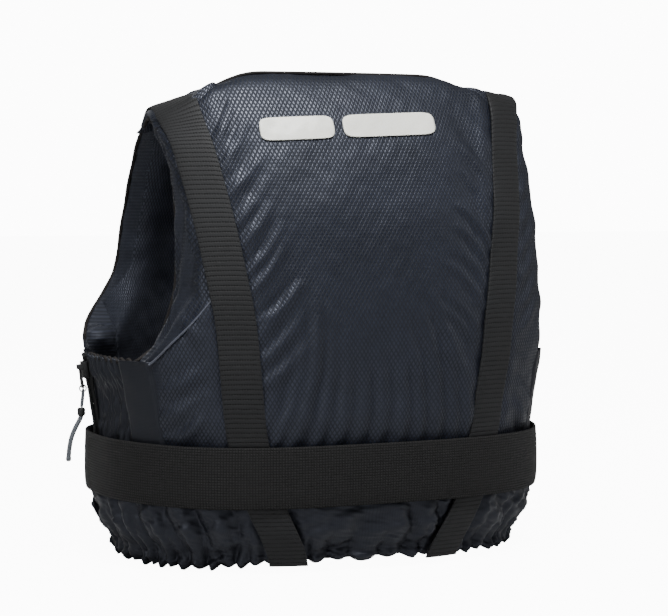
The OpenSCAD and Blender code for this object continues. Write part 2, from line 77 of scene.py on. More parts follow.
# ----------------------------------------------------------------------------------------- helpers


def hex_linear(code: str) -> tuple[float, float, float, float]:
    """Turns an sRGB hex colour into linear RGBA.

    Args:
        code: Six hex digits.

    Returns:
        Linear red, green, blue and an alpha of 1.
    """
    srgb = [int(code[i : i + 2], 16) / 255 for i in (0, 2, 4)]
    linear = [c / 12.92 if c <= 0.04045 else ((c + 0.055) / 1.055) ** 2.4 for c in srgb]
    return (*linear, 1.0)


def add_node(
    tree: bpy.types.NodeTree, kind: str, inputs: dict | None = None, **settings: object
) -> bpy.types.Node:
    """Adds one shader node, sets it up and links it.

    Args:
        tree: The node tree that gets the node.
        kind: The node's type name.
        inputs: Input sockets by name or number, each with a value or a socket to link from.
        settings: Attributes of the node.

    Returns:
        The new node.
    """
    node = tree.nodes.new(kind)
    for name, value in settings.items():
        setattr(node, name, value)
    for key, value in (inputs or {}).items():
        if isinstance(value, bpy.types.NodeSocket):
            tree.links.new(value, node.inputs[key])
        else:
            node.inputs[key].default_value = value
    return node


def smooth_table(z: np.ndarray, heights: list[float], values: list[float], blur: float = 16.0) -> np.ndarray:
    """Reads a table between its points, rounded by the mean over a window of half width blur.

    Args:
        z: Heights to read at.
        heights: The table's heights, rising.
        values: The table's values.
        blur: Half width of the window, in the heights' unit.

    Returns:
        The values at z.
    """
    window = np.linspace(-blur, blur, 9)
    return np.mean([np.interp(z + step, heights, values) for step in window], axis=0)


def smooth_step(q: np.ndarray) -> np.ndarray:
    """Rises from 0 to 1 with level ends, for q already clipped to that range."""
    return q * q * (3 - 2 * q)


def rounded(gap: np.ndarray, reach: np.ndarray | float, power: np.ndarray | float) -> np.ndarray:
    """The profile of a rounded edge: 0 at the edge and 1 from reach inwards."""
    return (1 - (1 - np.clip(gap / reach, 0, 1)) ** power) ** (1 / power)


def ripple(points: np.ndarray, length: float, seed: int, count: int = 12) -> np.ndarray:
    """Smooth noise from -1 to 1: the mean of sine waves of about one length in seeded random directions.

    Args:
        points: Points, in millimetres, along the last axis.
        length: Typical wavelength in millimetres.
        seed: Seed of the directions and phases.
        count: Number of waves.

    Returns:
        One value per point.
    """
    rng = np.random.default_rng(seed)
    total = np.zeros(points.shape[:-1])
    for _ in range(count):
        direction = rng.normal(size=points.shape[-1])
        direction *= 2 * math.pi / (length * rng.uniform(0.7, 1.5) * np.linalg.norm(direction))
        total += np.sin(points @ direction + rng.uniform(0, 2 * math.pi))
    return total / math.sqrt(count * 2)


# ------------------------------------------------------------------------------------- the outline


@dataclass(frozen=True)
class Outline:
    """The vest's outline, as in the frame: a squared ellipse in plan whose depth follows the height."""

    half_width: float = 186.0
    half_depth: float = 138.0
    squareness: float = 2.4
    front_flat: float = 0.94
    back_neck: float = 397.0
    front_neck: float = 285.0
    front_shoulder: float = 362.0
    neck_half: float = 108.0
    pad: float = 36.0
    crest_peak: float = 391.0
    crest_x: float = 140.0

    def width_at(self, z: np.ndarray) -> np.ndarray:
        """Half width at the heights z."""
        grow = smooth_table(z, [0, 30, 54, 103, 165, 210, 400], [-20, -8, 0, 0, 10, 14, 14], 8)
        return self.half_width + grow

    def girth_depth(self, z: np.ndarray) -> np.ndarray:
        """Half depth of the belt, skirt and sides at the heights z."""
        return self.half_depth + smooth_table(z, [0, 30, 54, 103, 165], [-20, -6, 0, 0, 6], 8)

    def depth_at(self, back: bool, z: np.ndarray) -> np.ndarray:
        """Depth of the back or the front at its middle, at the heights z."""
        if back:
            return self.half_depth + smooth_table(
                z, [54, 103, 160, 207, 279, 330, 360, 385, 400, 430], [0, 0, 7, 8, 0, -16, -30, -46, -56, -76]
            )
        return self.half_depth + smooth_table(
            z,
            [54, 103, 160, 220, 272, 310, 334, 352, 368, 384],
            [0, 0, 6, 2, -12, -38, -67, -98, -130, -160],
            9,
        )

    def rim(self, q: np.ndarray) -> np.ndarray:
        """The squared circle: y for x = q, with the power self.squareness."""
        return np.clip(1 - np.abs(q) ** self.squareness, 0, 1) ** (1 / self.squareness)

    def shell(self, back: bool, x: np.ndarray, z: np.ndarray, t: np.ndarray | float) -> np.ndarray:
        """Points on the back or the front, x across and z up, t inwards of its outer face."""
        a = self.width_at(z)
        f = self.rim(x / a)
        side = 1.0 if back else -self.front_flat
        y = side * (self.depth_at(back, z) - self.half_depth * (1 - f) - t * f)
        return np.stack([x * (a - t) / a, y, z + 0 * y], axis=-1)

    def girth(self, phi: np.ndarray, z: np.ndarray, t: np.ndarray | float) -> np.ndarray:
        """Points round the vest at the angle phi (degrees, from the back towards the left), t inwards."""
        power = 2 / self.squareness
        s, c = np.sin(np.radians(phi)), np.cos(np.radians(phi))
        flat = np.where(c < 0, self.front_flat, 1.0)
        x = (self.width_at(z) - t) * np.sign(s) * np.abs(s) ** power
        y = (self.girth_depth(z) - t) * np.sign(c) * np.abs(c) ** power * flat
        return np.stack([x, y, z + 0 * x], axis=-1)

    def flank(self, y: np.ndarray, z: np.ndarray, t: np.ndarray | float) -> np.ndarray:
        """Points on the left side at y from front to back, t inwards."""
        flat = np.where(y < 0, self.front_flat, 1.0)
        x = (self.width_at(z) - t) * self.rim(y / (self.girth_depth(z) - t) / flat)
        return np.stack([x, y + 0 * x, z + 0 * x], axis=-1)

    def back_top(self, x: np.ndarray) -> np.ndarray:
        """Height of the back panel's top edge."""
        return self.back_neck - smooth_table(np.abs(x), [0, 88, 118, 140, 165], [0, 0, 12, 24, 31], 9)

    def front_top(self, x: np.ndarray) -> np.ndarray:
        """Height of the front panel's top edge: a U that climbs to the shoulders with the power 2.5."""
        climb = np.clip(np.abs(x) / self.neck_half, 0, 1) ** 2.5
        return self.front_neck + (self.front_shoulder - self.front_neck) * climb

    def edge_at(self, back: bool, z: np.ndarray) -> np.ndarray:
        """Distance of the armhole edge from the middle."""
        if back:
            return smooth_table(z, [60, 110, 165, 200, 250, 340, 370], [172, 176, 180, 175, 171, 169, 162])
        return smooth_table(
            z,
            [60, 110, 150, 165, 178, 186, 192, 211, 230, 249, 290, 325, 345, 362],
            [172, 175, 179, 184, 188, 188, 183, 163, 149, 145, 143, 145, 150, 155],
            5,
        )

    def piping_x(self, z: np.ndarray) -> np.ndarray:
        """Distance from the middle of the seam where the back's face turns into its left armhole facing."""
        return smooth_table(
            z,
            [152, 162, 170, 181, 200, 220, 245, 279, 330, 350, 370],
            [190, 174, 167, 159, 143, 128, 131, 138, 149, 155, 160],
            4,
        )

    def left_cut(self, z: np.ndarray) -> np.ndarray:
        """How much narrower the back is on its left, where the armhole is pulled in."""
        return smooth_table(z, [165, 197, 225, 325, 358], [1, 6, 11, 11, 0], 8)

    def strap_x(self, back: bool, z: np.ndarray) -> np.ndarray:
        """Distance of the shoulder webbing's middle from the vest's middle."""
        if back:
            return smooth_table(z, [8, 54, 110, 160, 207, 279, 372], [64, 88, 102, 108, 113, 125, 140], 12)
        return smooth_table(z, [110, 200, 272, 300, 345, 362], [86, 94, 106, 112, 128, 140], 8)

    def crest(self, x: np.ndarray, p: np.ndarray, t: np.ndarray | float) -> np.ndarray:
        """Points over the shoulder: a quadratic curve from the back's top (p = 0) to the front's (p = 1)."""
        rear = self.shell(True, x, self.back_top(x) + 1.2, t)
        fore = self.shell(False, x, np.full_like(x, self.front_shoulder + 1.2), t)
        peak = (rear + fore) / 2
        peak[..., 1] += 3
        peak[..., 2] = self.crest_peak - 1.8 * t
        p = p[..., None]
        return (1 - p) ** 2 * rear + 2 * p * (1 - p) * peak + p**2 * fore

    def arc(self, x: np.ndarray, z: np.ndarray) -> np.ndarray:
        """Length along the outline from the middle to x, signed: the curve's own cumulative length."""
        reach = np.linspace(0, 0.999, 200)
        curve = np.hypot(np.gradient(reach) * 200, np.gradient(self.rim(reach)) * self.half_depth)
        return np.sign(x) * np.interp(np.abs(x) / self.width_at(z), reach, np.cumsum(curve) - curve[0])


OUTLINE = Outline()


# ------------------------------------------------------------------------------------- mesh making


def grid_faces(nu: int, nv: int, wrap_u: bool = False, wrap_v: bool = False, start: int = 0) -> np.ndarray:
    """Quads of an nu by nv grid of points, numbered along v first, whose normals are v cross u.

    Args:
        nu: Points along u.
        nv: Points along v.
        wrap_u: Whether the last row joins the first.
        wrap_v: Whether the last column joins the first.
        start: Number of the first point.

    Returns:
        An array of four point numbers per face.
    """
    i = np.arange(nu if wrap_u else nu - 1)[:, None]
    j = np.arange(nv if wrap_v else nv - 1)[None, :]
    corners = [i * nv + j, i * nv + (j + 1) % nv, (i + 1) % nu * nv + (j + 1) % nv, (i + 1) % nu * nv + j]
    return np.stack([c.ravel() for c in corners], axis=-1) + start


def make_piece(name: str, points: np.ndarray, faces: list, weave: np.ndarray) -> bpy.types.Object:
    """Makes a smooth mesh object at the origin with its weave coordinates as a UV map.

    Args:
        name: The piece's name.
        points: Points in millimetres.
        faces: Lists of point numbers.
        weave: For each point, cloth coordinates in millimetres.

    Returns:
        The new object, linked to the scene.
    """
    mesh = bpy.data.meshes.new(name)
    mesh.from_pydata((points.reshape(-1, 3) * MM).tolist(), [], faces)
    mesh.validate()
    mesh.update()
    mesh.shade_smooth()
    set_weave(mesh, weave.reshape(-1, 2))
    piece = bpy.data.objects.new(name, mesh)
    bpy.context.scene.collection.objects.link(piece)
    return piece


def set_weave(mesh: bpy.types.Mesh, weave: np.ndarray) -> None:
    """Stores per-point cloth coordinates, in millimetres, as a UV map in metres."""
    layer = mesh.uv_layers.new(name=WEAVE_MAP)
    corner = np.empty(len(mesh.loops), dtype=np.int32)
    mesh.loops.foreach_get("vertex_index", corner)
    layer.data.foreach_set("uv", (weave[corner] * MM).astype(np.float32).ravel())


def grid_piece(
    name: str,
    points: np.ndarray,
    weave: np.ndarray,
    wrap_u: bool = False,
    thickness: float = 0.0,
    round_edge: float = 0.0,
) -> bpy.types.Object:
    """Makes a sheet from a grid of points, thickened inwards.

    Args:
        name: The piece's name.
        points: Grid of points, shape (nu, nv, 3), in millimetres.
        weave: Cloth coordinates, shape (nu, nv, 2), in millimetres.
        wrap_u: Whether the grid closes on itself along u.
        thickness: Thickness in millimetres, 0 for none.
        round_edge: Bevel of the sheet's edge in millimetres, 0 for none.

    Returns:
        The new object.
    """
    nu, nv = points.shape[:2]
    piece = make_piece(name, points, grid_faces(nu, nv, wrap_u).tolist(), weave)
    if thickness:
        solid = piece.modifiers.new("thickness", "SOLIDIFY")
        solid.thickness = thickness * MM
        solid.offset = -1
        solid.use_even_offset = False
    if round_edge:
        bevel = piece.modifiers.new("edge", "BEVEL")
        bevel.width = round_edge * MM
        bevel.segments = 2
        bevel.angle_limit = math.radians(50)
    return piece


def tube_piece(
    name: str,
    path: np.ndarray,
    radius: float | np.ndarray,
    sides: int,
    closed: bool,
    ref: tuple[float, float, float],
) -> bpy.types.Object:
    """Makes a round tube along a path: at each point a circle square to the path, with capped ends.

    Args:
        name: The piece's name.
        path: Points, in millimetres.
        radius: Radius, or one per point, in millimetres.
        sides: Points round the tube.
        closed: Whether the path closes on itself.
        ref: A direction that the path never takes.

    Returns:
        The new object.
    """
    along = np.roll(path, -1, 0) - np.roll(path, 1, 0)
    if not closed:
        along[0], along[-1] = path[1] - path[0], path[-1] - path[-2]
    along /= np.linalg.norm(along, axis=1, keepdims=True)
    across = np.cross(np.array(ref), along)
    across /= np.linalg.norm(across, axis=1, keepdims=True)
    over = np.cross(along, across)
    turn = np.linspace(0, 2 * math.pi, sides, endpoint=False)
    size = np.broadcast_to(radius, len(path))[:, None, None]
    ring = across[:, None] * np.cos(turn)[None, :, None] + over[:, None] * np.sin(turn)[None, :, None]
    points = path[:, None] + size * ring
    n = len(path)
    faces = grid_faces(n, sides, closed, True)[:, ::-1].tolist()
    if not closed:
        faces += [list(range(sides))[::-1], list(range((n - 1) * sides, n * sides))]
    reach = np.concatenate([[0], np.cumsum(np.linalg.norm(np.diff(path, axis=0), axis=1))])
    weave = np.stack(np.broadcast_arrays(reach[:, None], turn[None, :] * size[:, :, 0]), axis=-1)
    return make_piece(name, points, faces, weave)


def smooth_path(points: np.ndarray, count: int, closed: bool = False) -> np.ndarray:
    """Runs a Catmull-Rom curve through given points, evenly stepped between them.

    Args:
        points: Points, in millimetres.
        count: Number of points wanted.
        closed: Whether the curve closes on itself.

    Returns:
        The curve's points.
    """
    n = len(points)
    at = np.linspace(0, n if closed else n - 1, count, endpoint=not closed)
    i = np.minimum(at.astype(int), n - 1 if closed else n - 2)
    k = (at - i)[:, None]
    pick = (lambda q: points[q % n]) if closed else (lambda q: points[np.clip(q, 0, n - 1)])
    a, b, c, d = pick(i - 1), pick(i), pick(i + 1), pick(i + 2)
    return 0.5 * (2 * b + (c - a) * k + (2 * a - 5 * b + 4 * c - d) * k**2 + (3 * b - a - 3 * c + d) * k**3)


def vertex_array(mesh: bpy.types.Mesh, name: str = "co") -> np.ndarray:
    """Reads a mesh's points in millimetres, or its unit normals."""
    data = np.empty(len(mesh.vertices) * 3)
    mesh.vertices.foreach_get(name, data)
    return data.reshape(-1, 3) / (MM if name == "co" else 1)


def shade_by_angle(mesh: bpy.types.Mesh, angle: float) -> None:
    """Shades a mesh smooth, except across the edges that turn by more than the angle."""
    mesh.shade_smooth()
    mesh.set_sharp_from_angle(angle=angle)


def apply_modifiers(piece: bpy.types.Object) -> None:
    """Replaces a piece's mesh with the one its modifiers give, and removes them."""
    bpy.context.view_layer.update()
    graph = bpy.context.evaluated_depsgraph_get()
    mesh = bpy.data.meshes.new_from_object(piece.evaluated_get(graph), depsgraph=graph)
    piece.modifiers.clear()
    old = piece.data
    piece.data = mesh
    bpy.data.meshes.remove(old)
    mesh.name = piece.name


def swell(
    piece: bpy.types.Object, pinned: Pin, voxel: float, pressure: float, cap: float, frames: int = 16
) -> None:
    """Lets a padded cover swell between the places that hold it, by a cloth simulation that is then applied.

    Args:
        piece: The closed cover.
        pinned: Gives, for points in millimetres, how firmly each is held, from 0 to 1.
        voxel: Size of the remesh in millimetres.
        pressure: Pressure inside the cover.
        cap: Furthest that a point may move, in millimetres.
        frames: Number of frames simulated.
    """
    remesh = piece.modifiers.new("remesh", "REMESH")
    remesh.mode = "VOXEL"
    remesh.voxel_size = voxel * MM
    apply_modifiers(piece)
    rest = vertex_array(piece.data)
    group = piece.vertex_groups.new(name="held")
    hold = pinned(rest)
    for level in np.linspace(0.1, 1.0, 10):
        members = np.nonzero(np.abs(hold - level) <= 0.05)[0]
        group.add(members.tolist(), float(level), "REPLACE")
    cloth = piece.modifiers.new("swell", "CLOTH")
    cloth.settings.use_pressure = True
    cloth.settings.uniform_pressure_force = pressure
    cloth.settings.effector_weights.gravity = 0
    cloth.settings.vertex_group_mass = "held"
    cloth.settings.tension_stiffness = 12
    cloth.settings.bending_stiffness = 0.4
    cloth.settings.quality = 5
    cloth.collision_settings.use_collision = False
    cloth.point_cache.frame_start = 1
    cloth.point_cache.frame_end = frames
    for frame in range(1, frames + 1):
        bpy.context.scene.frame_set(frame)
    moved = vertex_array(piece.evaluated_get(bpy.context.evaluated_depsgraph_get()).data) - rest
    bpy.context.scene.frame_set(1)
    piece.modifiers.clear()
    reach = np.linalg.norm(moved, axis=1, keepdims=True)
    moved *= cap / np.maximum(reach, cap)
    piece.data.vertices.foreach_set("co", ((rest + moved) * MM).ravel())
    subdivide = piece.modifiers.new("smooth", "SUBSURF")
    subdivide.levels = subdivide.render_levels = 1
    apply_modifiers(piece)


def lay_on(points: np.ndarray, piece: bpy.types.Object, lift: float) -> np.ndarray:
    """Moves points along Y on to a piece's rear face.

    Args:
        points: Points in millimetres, shape (..., 3).
        piece: The piece under them.
        lift: Distance behind its face in millimetres.

    Returns:
        The moved points.
    """
    tree = BVHTree.FromPolygons(
        [v.co.copy() for v in piece.data.vertices], [tuple(face.vertices) for face in piece.data.polygons]
    )
    moved = points.copy()
    for place in np.ndindex(points.shape[:-1]):
        x, _, z = points[place] * MM
        hit = tree.ray_cast(Vector((x, 1.0, z)), Vector((0, -1, 0)))[0]
        if hit is not None:
            moved[place][1] = hit.y / MM + lift
    return moved


# ---------------------------------------------------------------------------------------- finishes


class Weave(Enum):
    """How a finish's surface is made, which sets its pattern."""

    DOBBY = "staggered diamonds"
    PLAIN = "plain weave"
    RIB = "ribs across the webbing"
    RIDGE = "ribs with cross threads"
    BRAID = "braided"
    MOULDED = "moulded"


@dataclass(frozen=True)
class Finish:
    """One finish: what it is made of, its colour and how its surface is made."""

    name: str
    slot: str
    weave: Weave
    colour: str
    # The darker colour: painted shading in a weave's grooves, or the darker grain tone of a moulded finish.
    groove_shade_and_grain: str
    roughness: float
    pitch: tuple[float, float] = (1.0, 1.0)
    relief: float = 0.1
    depth: float = 0.6
    metallic: float = 0.0
    sheen: float = 0.0
    coat: float = 0.0
    mottle: float = 0.25
    gloss: float = 0.5
    tint: str = "ffffff"
    dulled: float = 0.2

    def material(self) -> bpy.types.Material:
        """Returns the finish's material, made once."""
        found = bpy.data.materials.get(self.name)
        return found or self.build()

    def pattern(self, tree: bpy.types.NodeTree) -> bpy.types.NodeSocket:
        """Builds the height of the weave, from 0 in its grooves to 1 on its threads.

        Triangle waves along the two cloth directions give ribs. Their sum and difference give diamonds.

        Args:
            tree: The material's node tree.

        Returns:
            The height's socket.
        """
        uv = add_node(tree, "ShaderNodeUVMap", uv_map=WEAVE_MAP)
        axes = add_node(tree, "ShaderNodeSeparateXYZ", {0: uv.outputs[0]})
        across, up = [
            add_node(
                tree,
                "ShaderNodeMath",
                {0: axes.outputs[i], 1: 1 / (self.pitch[i] * MM)},
                operation="MULTIPLY",
            ).outputs[0]
            for i in (0, 1)
        ]
        if self.weave in (Weave.DOBBY, Weave.BRAID):
            first, second = [
                add_node(tree, "ShaderNodeMath", {0: across, 1: up}, operation=sign).outputs[0]
                for sign in ("ADD", "SUBTRACT")
            ]
        else:
            first, second = across, up
        waves = [
            add_node(tree, "ShaderNodeMath", {0: wave, 1: 0.5}, operation="PINGPONG").outputs[0]
            for wave in (first, second)
        ]
        if self.weave is Weave.RIB:
            joined = waves[0]
        elif self.weave is Weave.RIDGE:
            joined = add_node(
                tree, "ShaderNodeMath", {0: waves[1], 1: 0.3, 2: waves[0]}, operation="MULTIPLY_ADD"
            ).outputs[0]
        else:
            joined = add_node(
                tree, "ShaderNodeMath", {0: waves[0], 1: waves[1]}, operation="MINIMUM"
            ).outputs[0]
        ramp = add_node(
            tree,
            "ShaderNodeMapRange",
            {"Value": joined, "From Min": 0.02, "From Max": 0.34},
            interpolation_type="SMOOTHSTEP",
        )
        return ramp.outputs[0]

    def build(self) -> bpy.types.Material:
        """Builds the finish's nodes: weave height, painted shading in the weave's grooves, uneven colour and
        uneven roughness on one shader.
        """
        material = bpy.data.materials.new(self.name)
        material.use_nodes = True
        tree = material.node_tree
        shader = tree.nodes["Principled BSDF"]
        place = add_node(tree, "ShaderNodeTexCoord")
        spot = place.outputs["Object"]
        noises = [
            add_node(tree, "ShaderNodeTexNoise", {"Vector": spot, "Scale": scale, "Detail": detail})
            for scale, detail in ((28.0, 5.0), (900.0, 3.0))
        ]
        cloud, grain = [noise.outputs["Fac"] for noise in noises]
        height = grain if self.weave is Weave.MOULDED else self.pattern(tree)
        # Painted shading: the weave's grooves take the darker colour and its threads the lighter; on moulded
        # finishes the same mix gives a random grain tone.
        base = add_node(
            tree,
            "ShaderNodeMix",
            {0: height, 6: hex_linear(self.groove_shade_and_grain), 7: hex_linear(self.colour)},
            data_type="RGBA",
        )
        tint = add_node(
            tree,
            "ShaderNodeMapRange",
            {
                "Value": cloud,
                "From Min": 0.3,
                "From Max": 0.7,
                "To Min": 1 - self.mottle,
                "To Max": 1 + self.mottle,
            },
        )
        toned = add_node(
            tree, "ShaderNodeVectorMath", {0: base.outputs[2], "Scale": tint.outputs[0]}, operation="SCALE"
        )
        rough = add_node(
            tree,
            "ShaderNodeMapRange",
            {"Value": height, "To Min": min(1.0, self.roughness + self.dulled), "To Max": self.roughness},
        )
        worn = add_node(
            tree, "ShaderNodeMath", {0: cloud, 1: 0.16, 2: rough.outputs[0]}, operation="MULTIPLY_ADD"
        )
        blended = add_node(
            tree, "ShaderNodeMath", {0: grain, 1: 0.25, 2: height}, operation="MULTIPLY_ADD"
        )
        bump = add_node(
            tree,
            "ShaderNodeBump",
            {"Strength": self.depth, "Distance": self.relief * MM, "Height": blended.outputs[0]},
        )
        for socket, value in (
            ("Base Color", toned.outputs[0]),
            ("Roughness", worn.outputs[0]),
            ("Normal", bump.outputs[0]),
        ):
            tree.links.new(value, shader.inputs[socket])
        shader.inputs["Metallic"].default_value = self.metallic
        shader.inputs["Sheen Weight"].default_value = self.sheen
        shader.inputs["Sheen Roughness"].default_value = 0.4
        shader.inputs["Specular IOR Level"].default_value = self.gloss
        shader.inputs["Specular Tint"].default_value = hex_linear(self.tint)
        shader.inputs["Coat Weight"].default_value = self.coat
        shader.inputs["Coat Roughness"].default_value = 0.25
        return material


# The shell's nylon is dyed navy through the yarn, so its shine is a little blue as well.
NAVY_SHINE = "d6dcee"
# Coated dobby nylon: smooth filament yarn with small raised diamonds, so it is glossy with a fine lattice.
DOBBY = Finish(
    "dobby_nylon", "shell_fabric", Weave.DOBBY, "131722", "020306", 0.28, (3.5, 5.6), 0.19, 0.9,
    gloss=0.6, tint=NAVY_SHINE, dulled=0.4,
)
# The same cloth turned inwards, painted lighter than the shell: painted light on the inner face seen through
# the armhole.
PAINTED_LIGHT_LINING = Finish(
    "dobby_lining", "lining_fabric", Weave.DOBBY, "1c202b", "080a0f", 0.36, (3.5, 5.6), 0.22, 0.9,
    gloss=0.7, tint=NAVY_SHINE, dulled=0.4,
)
# Plain nylon taffeta: thin filament cloth that creases sharply and shines on its folds.
TAFFETA = Finish(
    "nylon_taffeta", "skirt_fabric", Weave.PLAIN, "0a0b11", "07080c", 0.33, (1.1, 1.1), 0.04, 0.4,
    tint=NAVY_SHINE,
)
# The same taffeta on the sides, gathered by elastic, painted a little darker than the skirt's as painted
# shading.
SHADED_SIDE_TAFFETA = Finish(
    "side_taffeta", "gusset_fabric", Weave.PLAIN, "090a0e", "060709", 0.36, (1.1, 1.1), 0.04, 0.4,
    gloss=0.45, tint=NAVY_SHINE,
)
# Polypropylene webbing: coarse matt yarn whose ribs lie across the strap.
STRAP_WEB = Finish(
    "polypropylene_webbing", "shoulder_webbing", Weave.RIDGE, "111214", "040405", 0.58, (3.9, 1.9),
    0.34, 0.8, sheen=0.03, gloss=0.32,
)
# Polyester webbing: a broad matt belt in a fine basket weave.
BELT_WEB = Finish(
    "polyester_webbing", "belt_webbing", Weave.PLAIN, "101011", "030303", 0.6, (2.3, 2.1), 0.35, 0.9,
    sheen=0.02, gloss=0.28,
)
ELASTIC = Finish(
    "woven_elastic", "elastic", Weave.RIB, "0d0e10", "070708", 0.7, (1.4, 1.4), 0.15, gloss=0.3,
)
ZIP_TAPE = Finish(
    "herringbone_tape", "zip_tape", Weave.DOBBY, "0e0f11", "080809", 0.75, (1.6, 1.6), 0.1, gloss=0.3,
)
# Nylon monofilament of the zip's coils: smooth and slightly glossy.
COIL = Finish("nylon_coil", "zip_coil", Weave.MOULDED, "0c0d0f", "08090a", 0.4, relief=0.02)
# Acetal mouldings: satin, with the faint grain of a spark-eroded mould.
ACETAL = Finish(
    "moulded_acetal", "acetal", Weave.MOULDED, "101113", "0b0c0d", 0.42, relief=0.03, mottle=0.1,
)
STEEL = Finish(
    "polished_steel", "ring_steel", Weave.MOULDED, "c9ccd0", "a9adb2", 0.2, relief=0.01, metallic=1.0,
    mottle=0.05,
)
# Braided polyester cord: pale yarn with a fine diamond braid.
CORD = Finish(
    "braided_polyester", "cord", Weave.BRAID, "6c7177", "3b3f45", 0.6, (1.6, 1.6), 0.25, sheen=0.15,
)
# Folded grosgrain binding: dark, slightly brown, ribbed across.
BINDING = Finish(
    "grosgrain_binding", "binding", Weave.RIB, "171312", "0c0a09", 0.6, (1.0, 1.0), 0.1, gloss=0.3,
)
# Smooth corded piping: the shell cloth rolled over a cord, painted much lighter than the shell as a painted
# highlight along the seam.
PIPING_HIGHLIGHT = Finish(
    "corded_piping", "binding", Weave.PLAIN, "3c4150", "262a36", 0.28, (1.1, 1.1), 0.03, 0.4,
    gloss=0.8,
)
# Retroreflective film: near white, with the fine grain of its glass beads.
REFLECTIVE = Finish(
    "retroreflective_film", "reflective", Weave.MOULDED, "e9ebec", "d8d6c4", 0.38, relief=0.02,
    coat=0.3, mottle=0.06,
)


def settle(piece: bpy.types.Object) -> None:
    """Lets the left shoulder droop and lifts the right one a little, as the vest stands askew."""
    points = vertex_array(piece.data)
    x, _, z = points.T
    high = smooth_step(np.clip((z - 335) / 40, 0, 1))
    points[:, 2] += high * (5 * np.clip((-x - 100) / 60, 0, 1) - 12 * np.clip((x - 112) / 48, 0, 1.1))
    points[:, 0] -= high * 6 * np.clip((-x - 110) / 50, 0, 1.2)
    piece.data.vertices.foreach_set("co", (points * MM).ravel())


def dress(
    piece: bpy.types.Object, finish: Finish, body: str = "vest", replaces: tuple[str, ...] = ()
) -> bpy.types.Object:
    """Gives a piece its finish and its body, and hides the frame nodes that it stands for.

    Args:
        piece: The piece.
        finish: Its finish.
        body: The body that it rides on.
        replaces: Names of the nodes that it replaces.

    Returns:
        The piece.
    """
    if body == "vest":
        settle(piece)
    piece.data.materials.clear()
    piece.data.materials.append(finish.material())
    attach(piece, body)
    if replaces:
        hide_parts(*replaces)
    LOG.info("%s: %d points", piece.name, len(piece.data.vertices))
    return piece


# ----------------------------------------------------------------------------------- padded panels


@dataclass(frozen=True)
class Crease:
    """A fold in the cloth: a ridge along a line from (x0, z0) to (x1, z1) that fades towards its ends."""

    x0: float
    z0: float
    x1: float
    z1: float
    width: float
    height: float

    def lift(self, x: np.ndarray, z: np.ndarray) -> np.ndarray:
        """Height of the fold at x, z: a bell across it with a groove beside it, times a sine along it."""
        dx, dz = self.x1 - self.x0, self.z1 - self.z0
        length = math.hypot(dx, dz)
        along = ((x - self.x0) * dx + (z - self.z0) * dz) / length**2
        across = ((x - self.x0) * dz - (z - self.z0) * dx) / length
        across = across + 0.06 * length * np.sin(np.pi * np.clip(along, 0, 1))
        fade = np.sin(np.pi * np.clip(along * 0.86 + 0.14, 0, 1)) ** 0.7 * (along > -0.16) * (along < 1)
        q = across / self.width
        return self.height * fade * (np.exp(-(q**2)) - 0.55 * np.exp(-((q - 1.5) ** 2)))


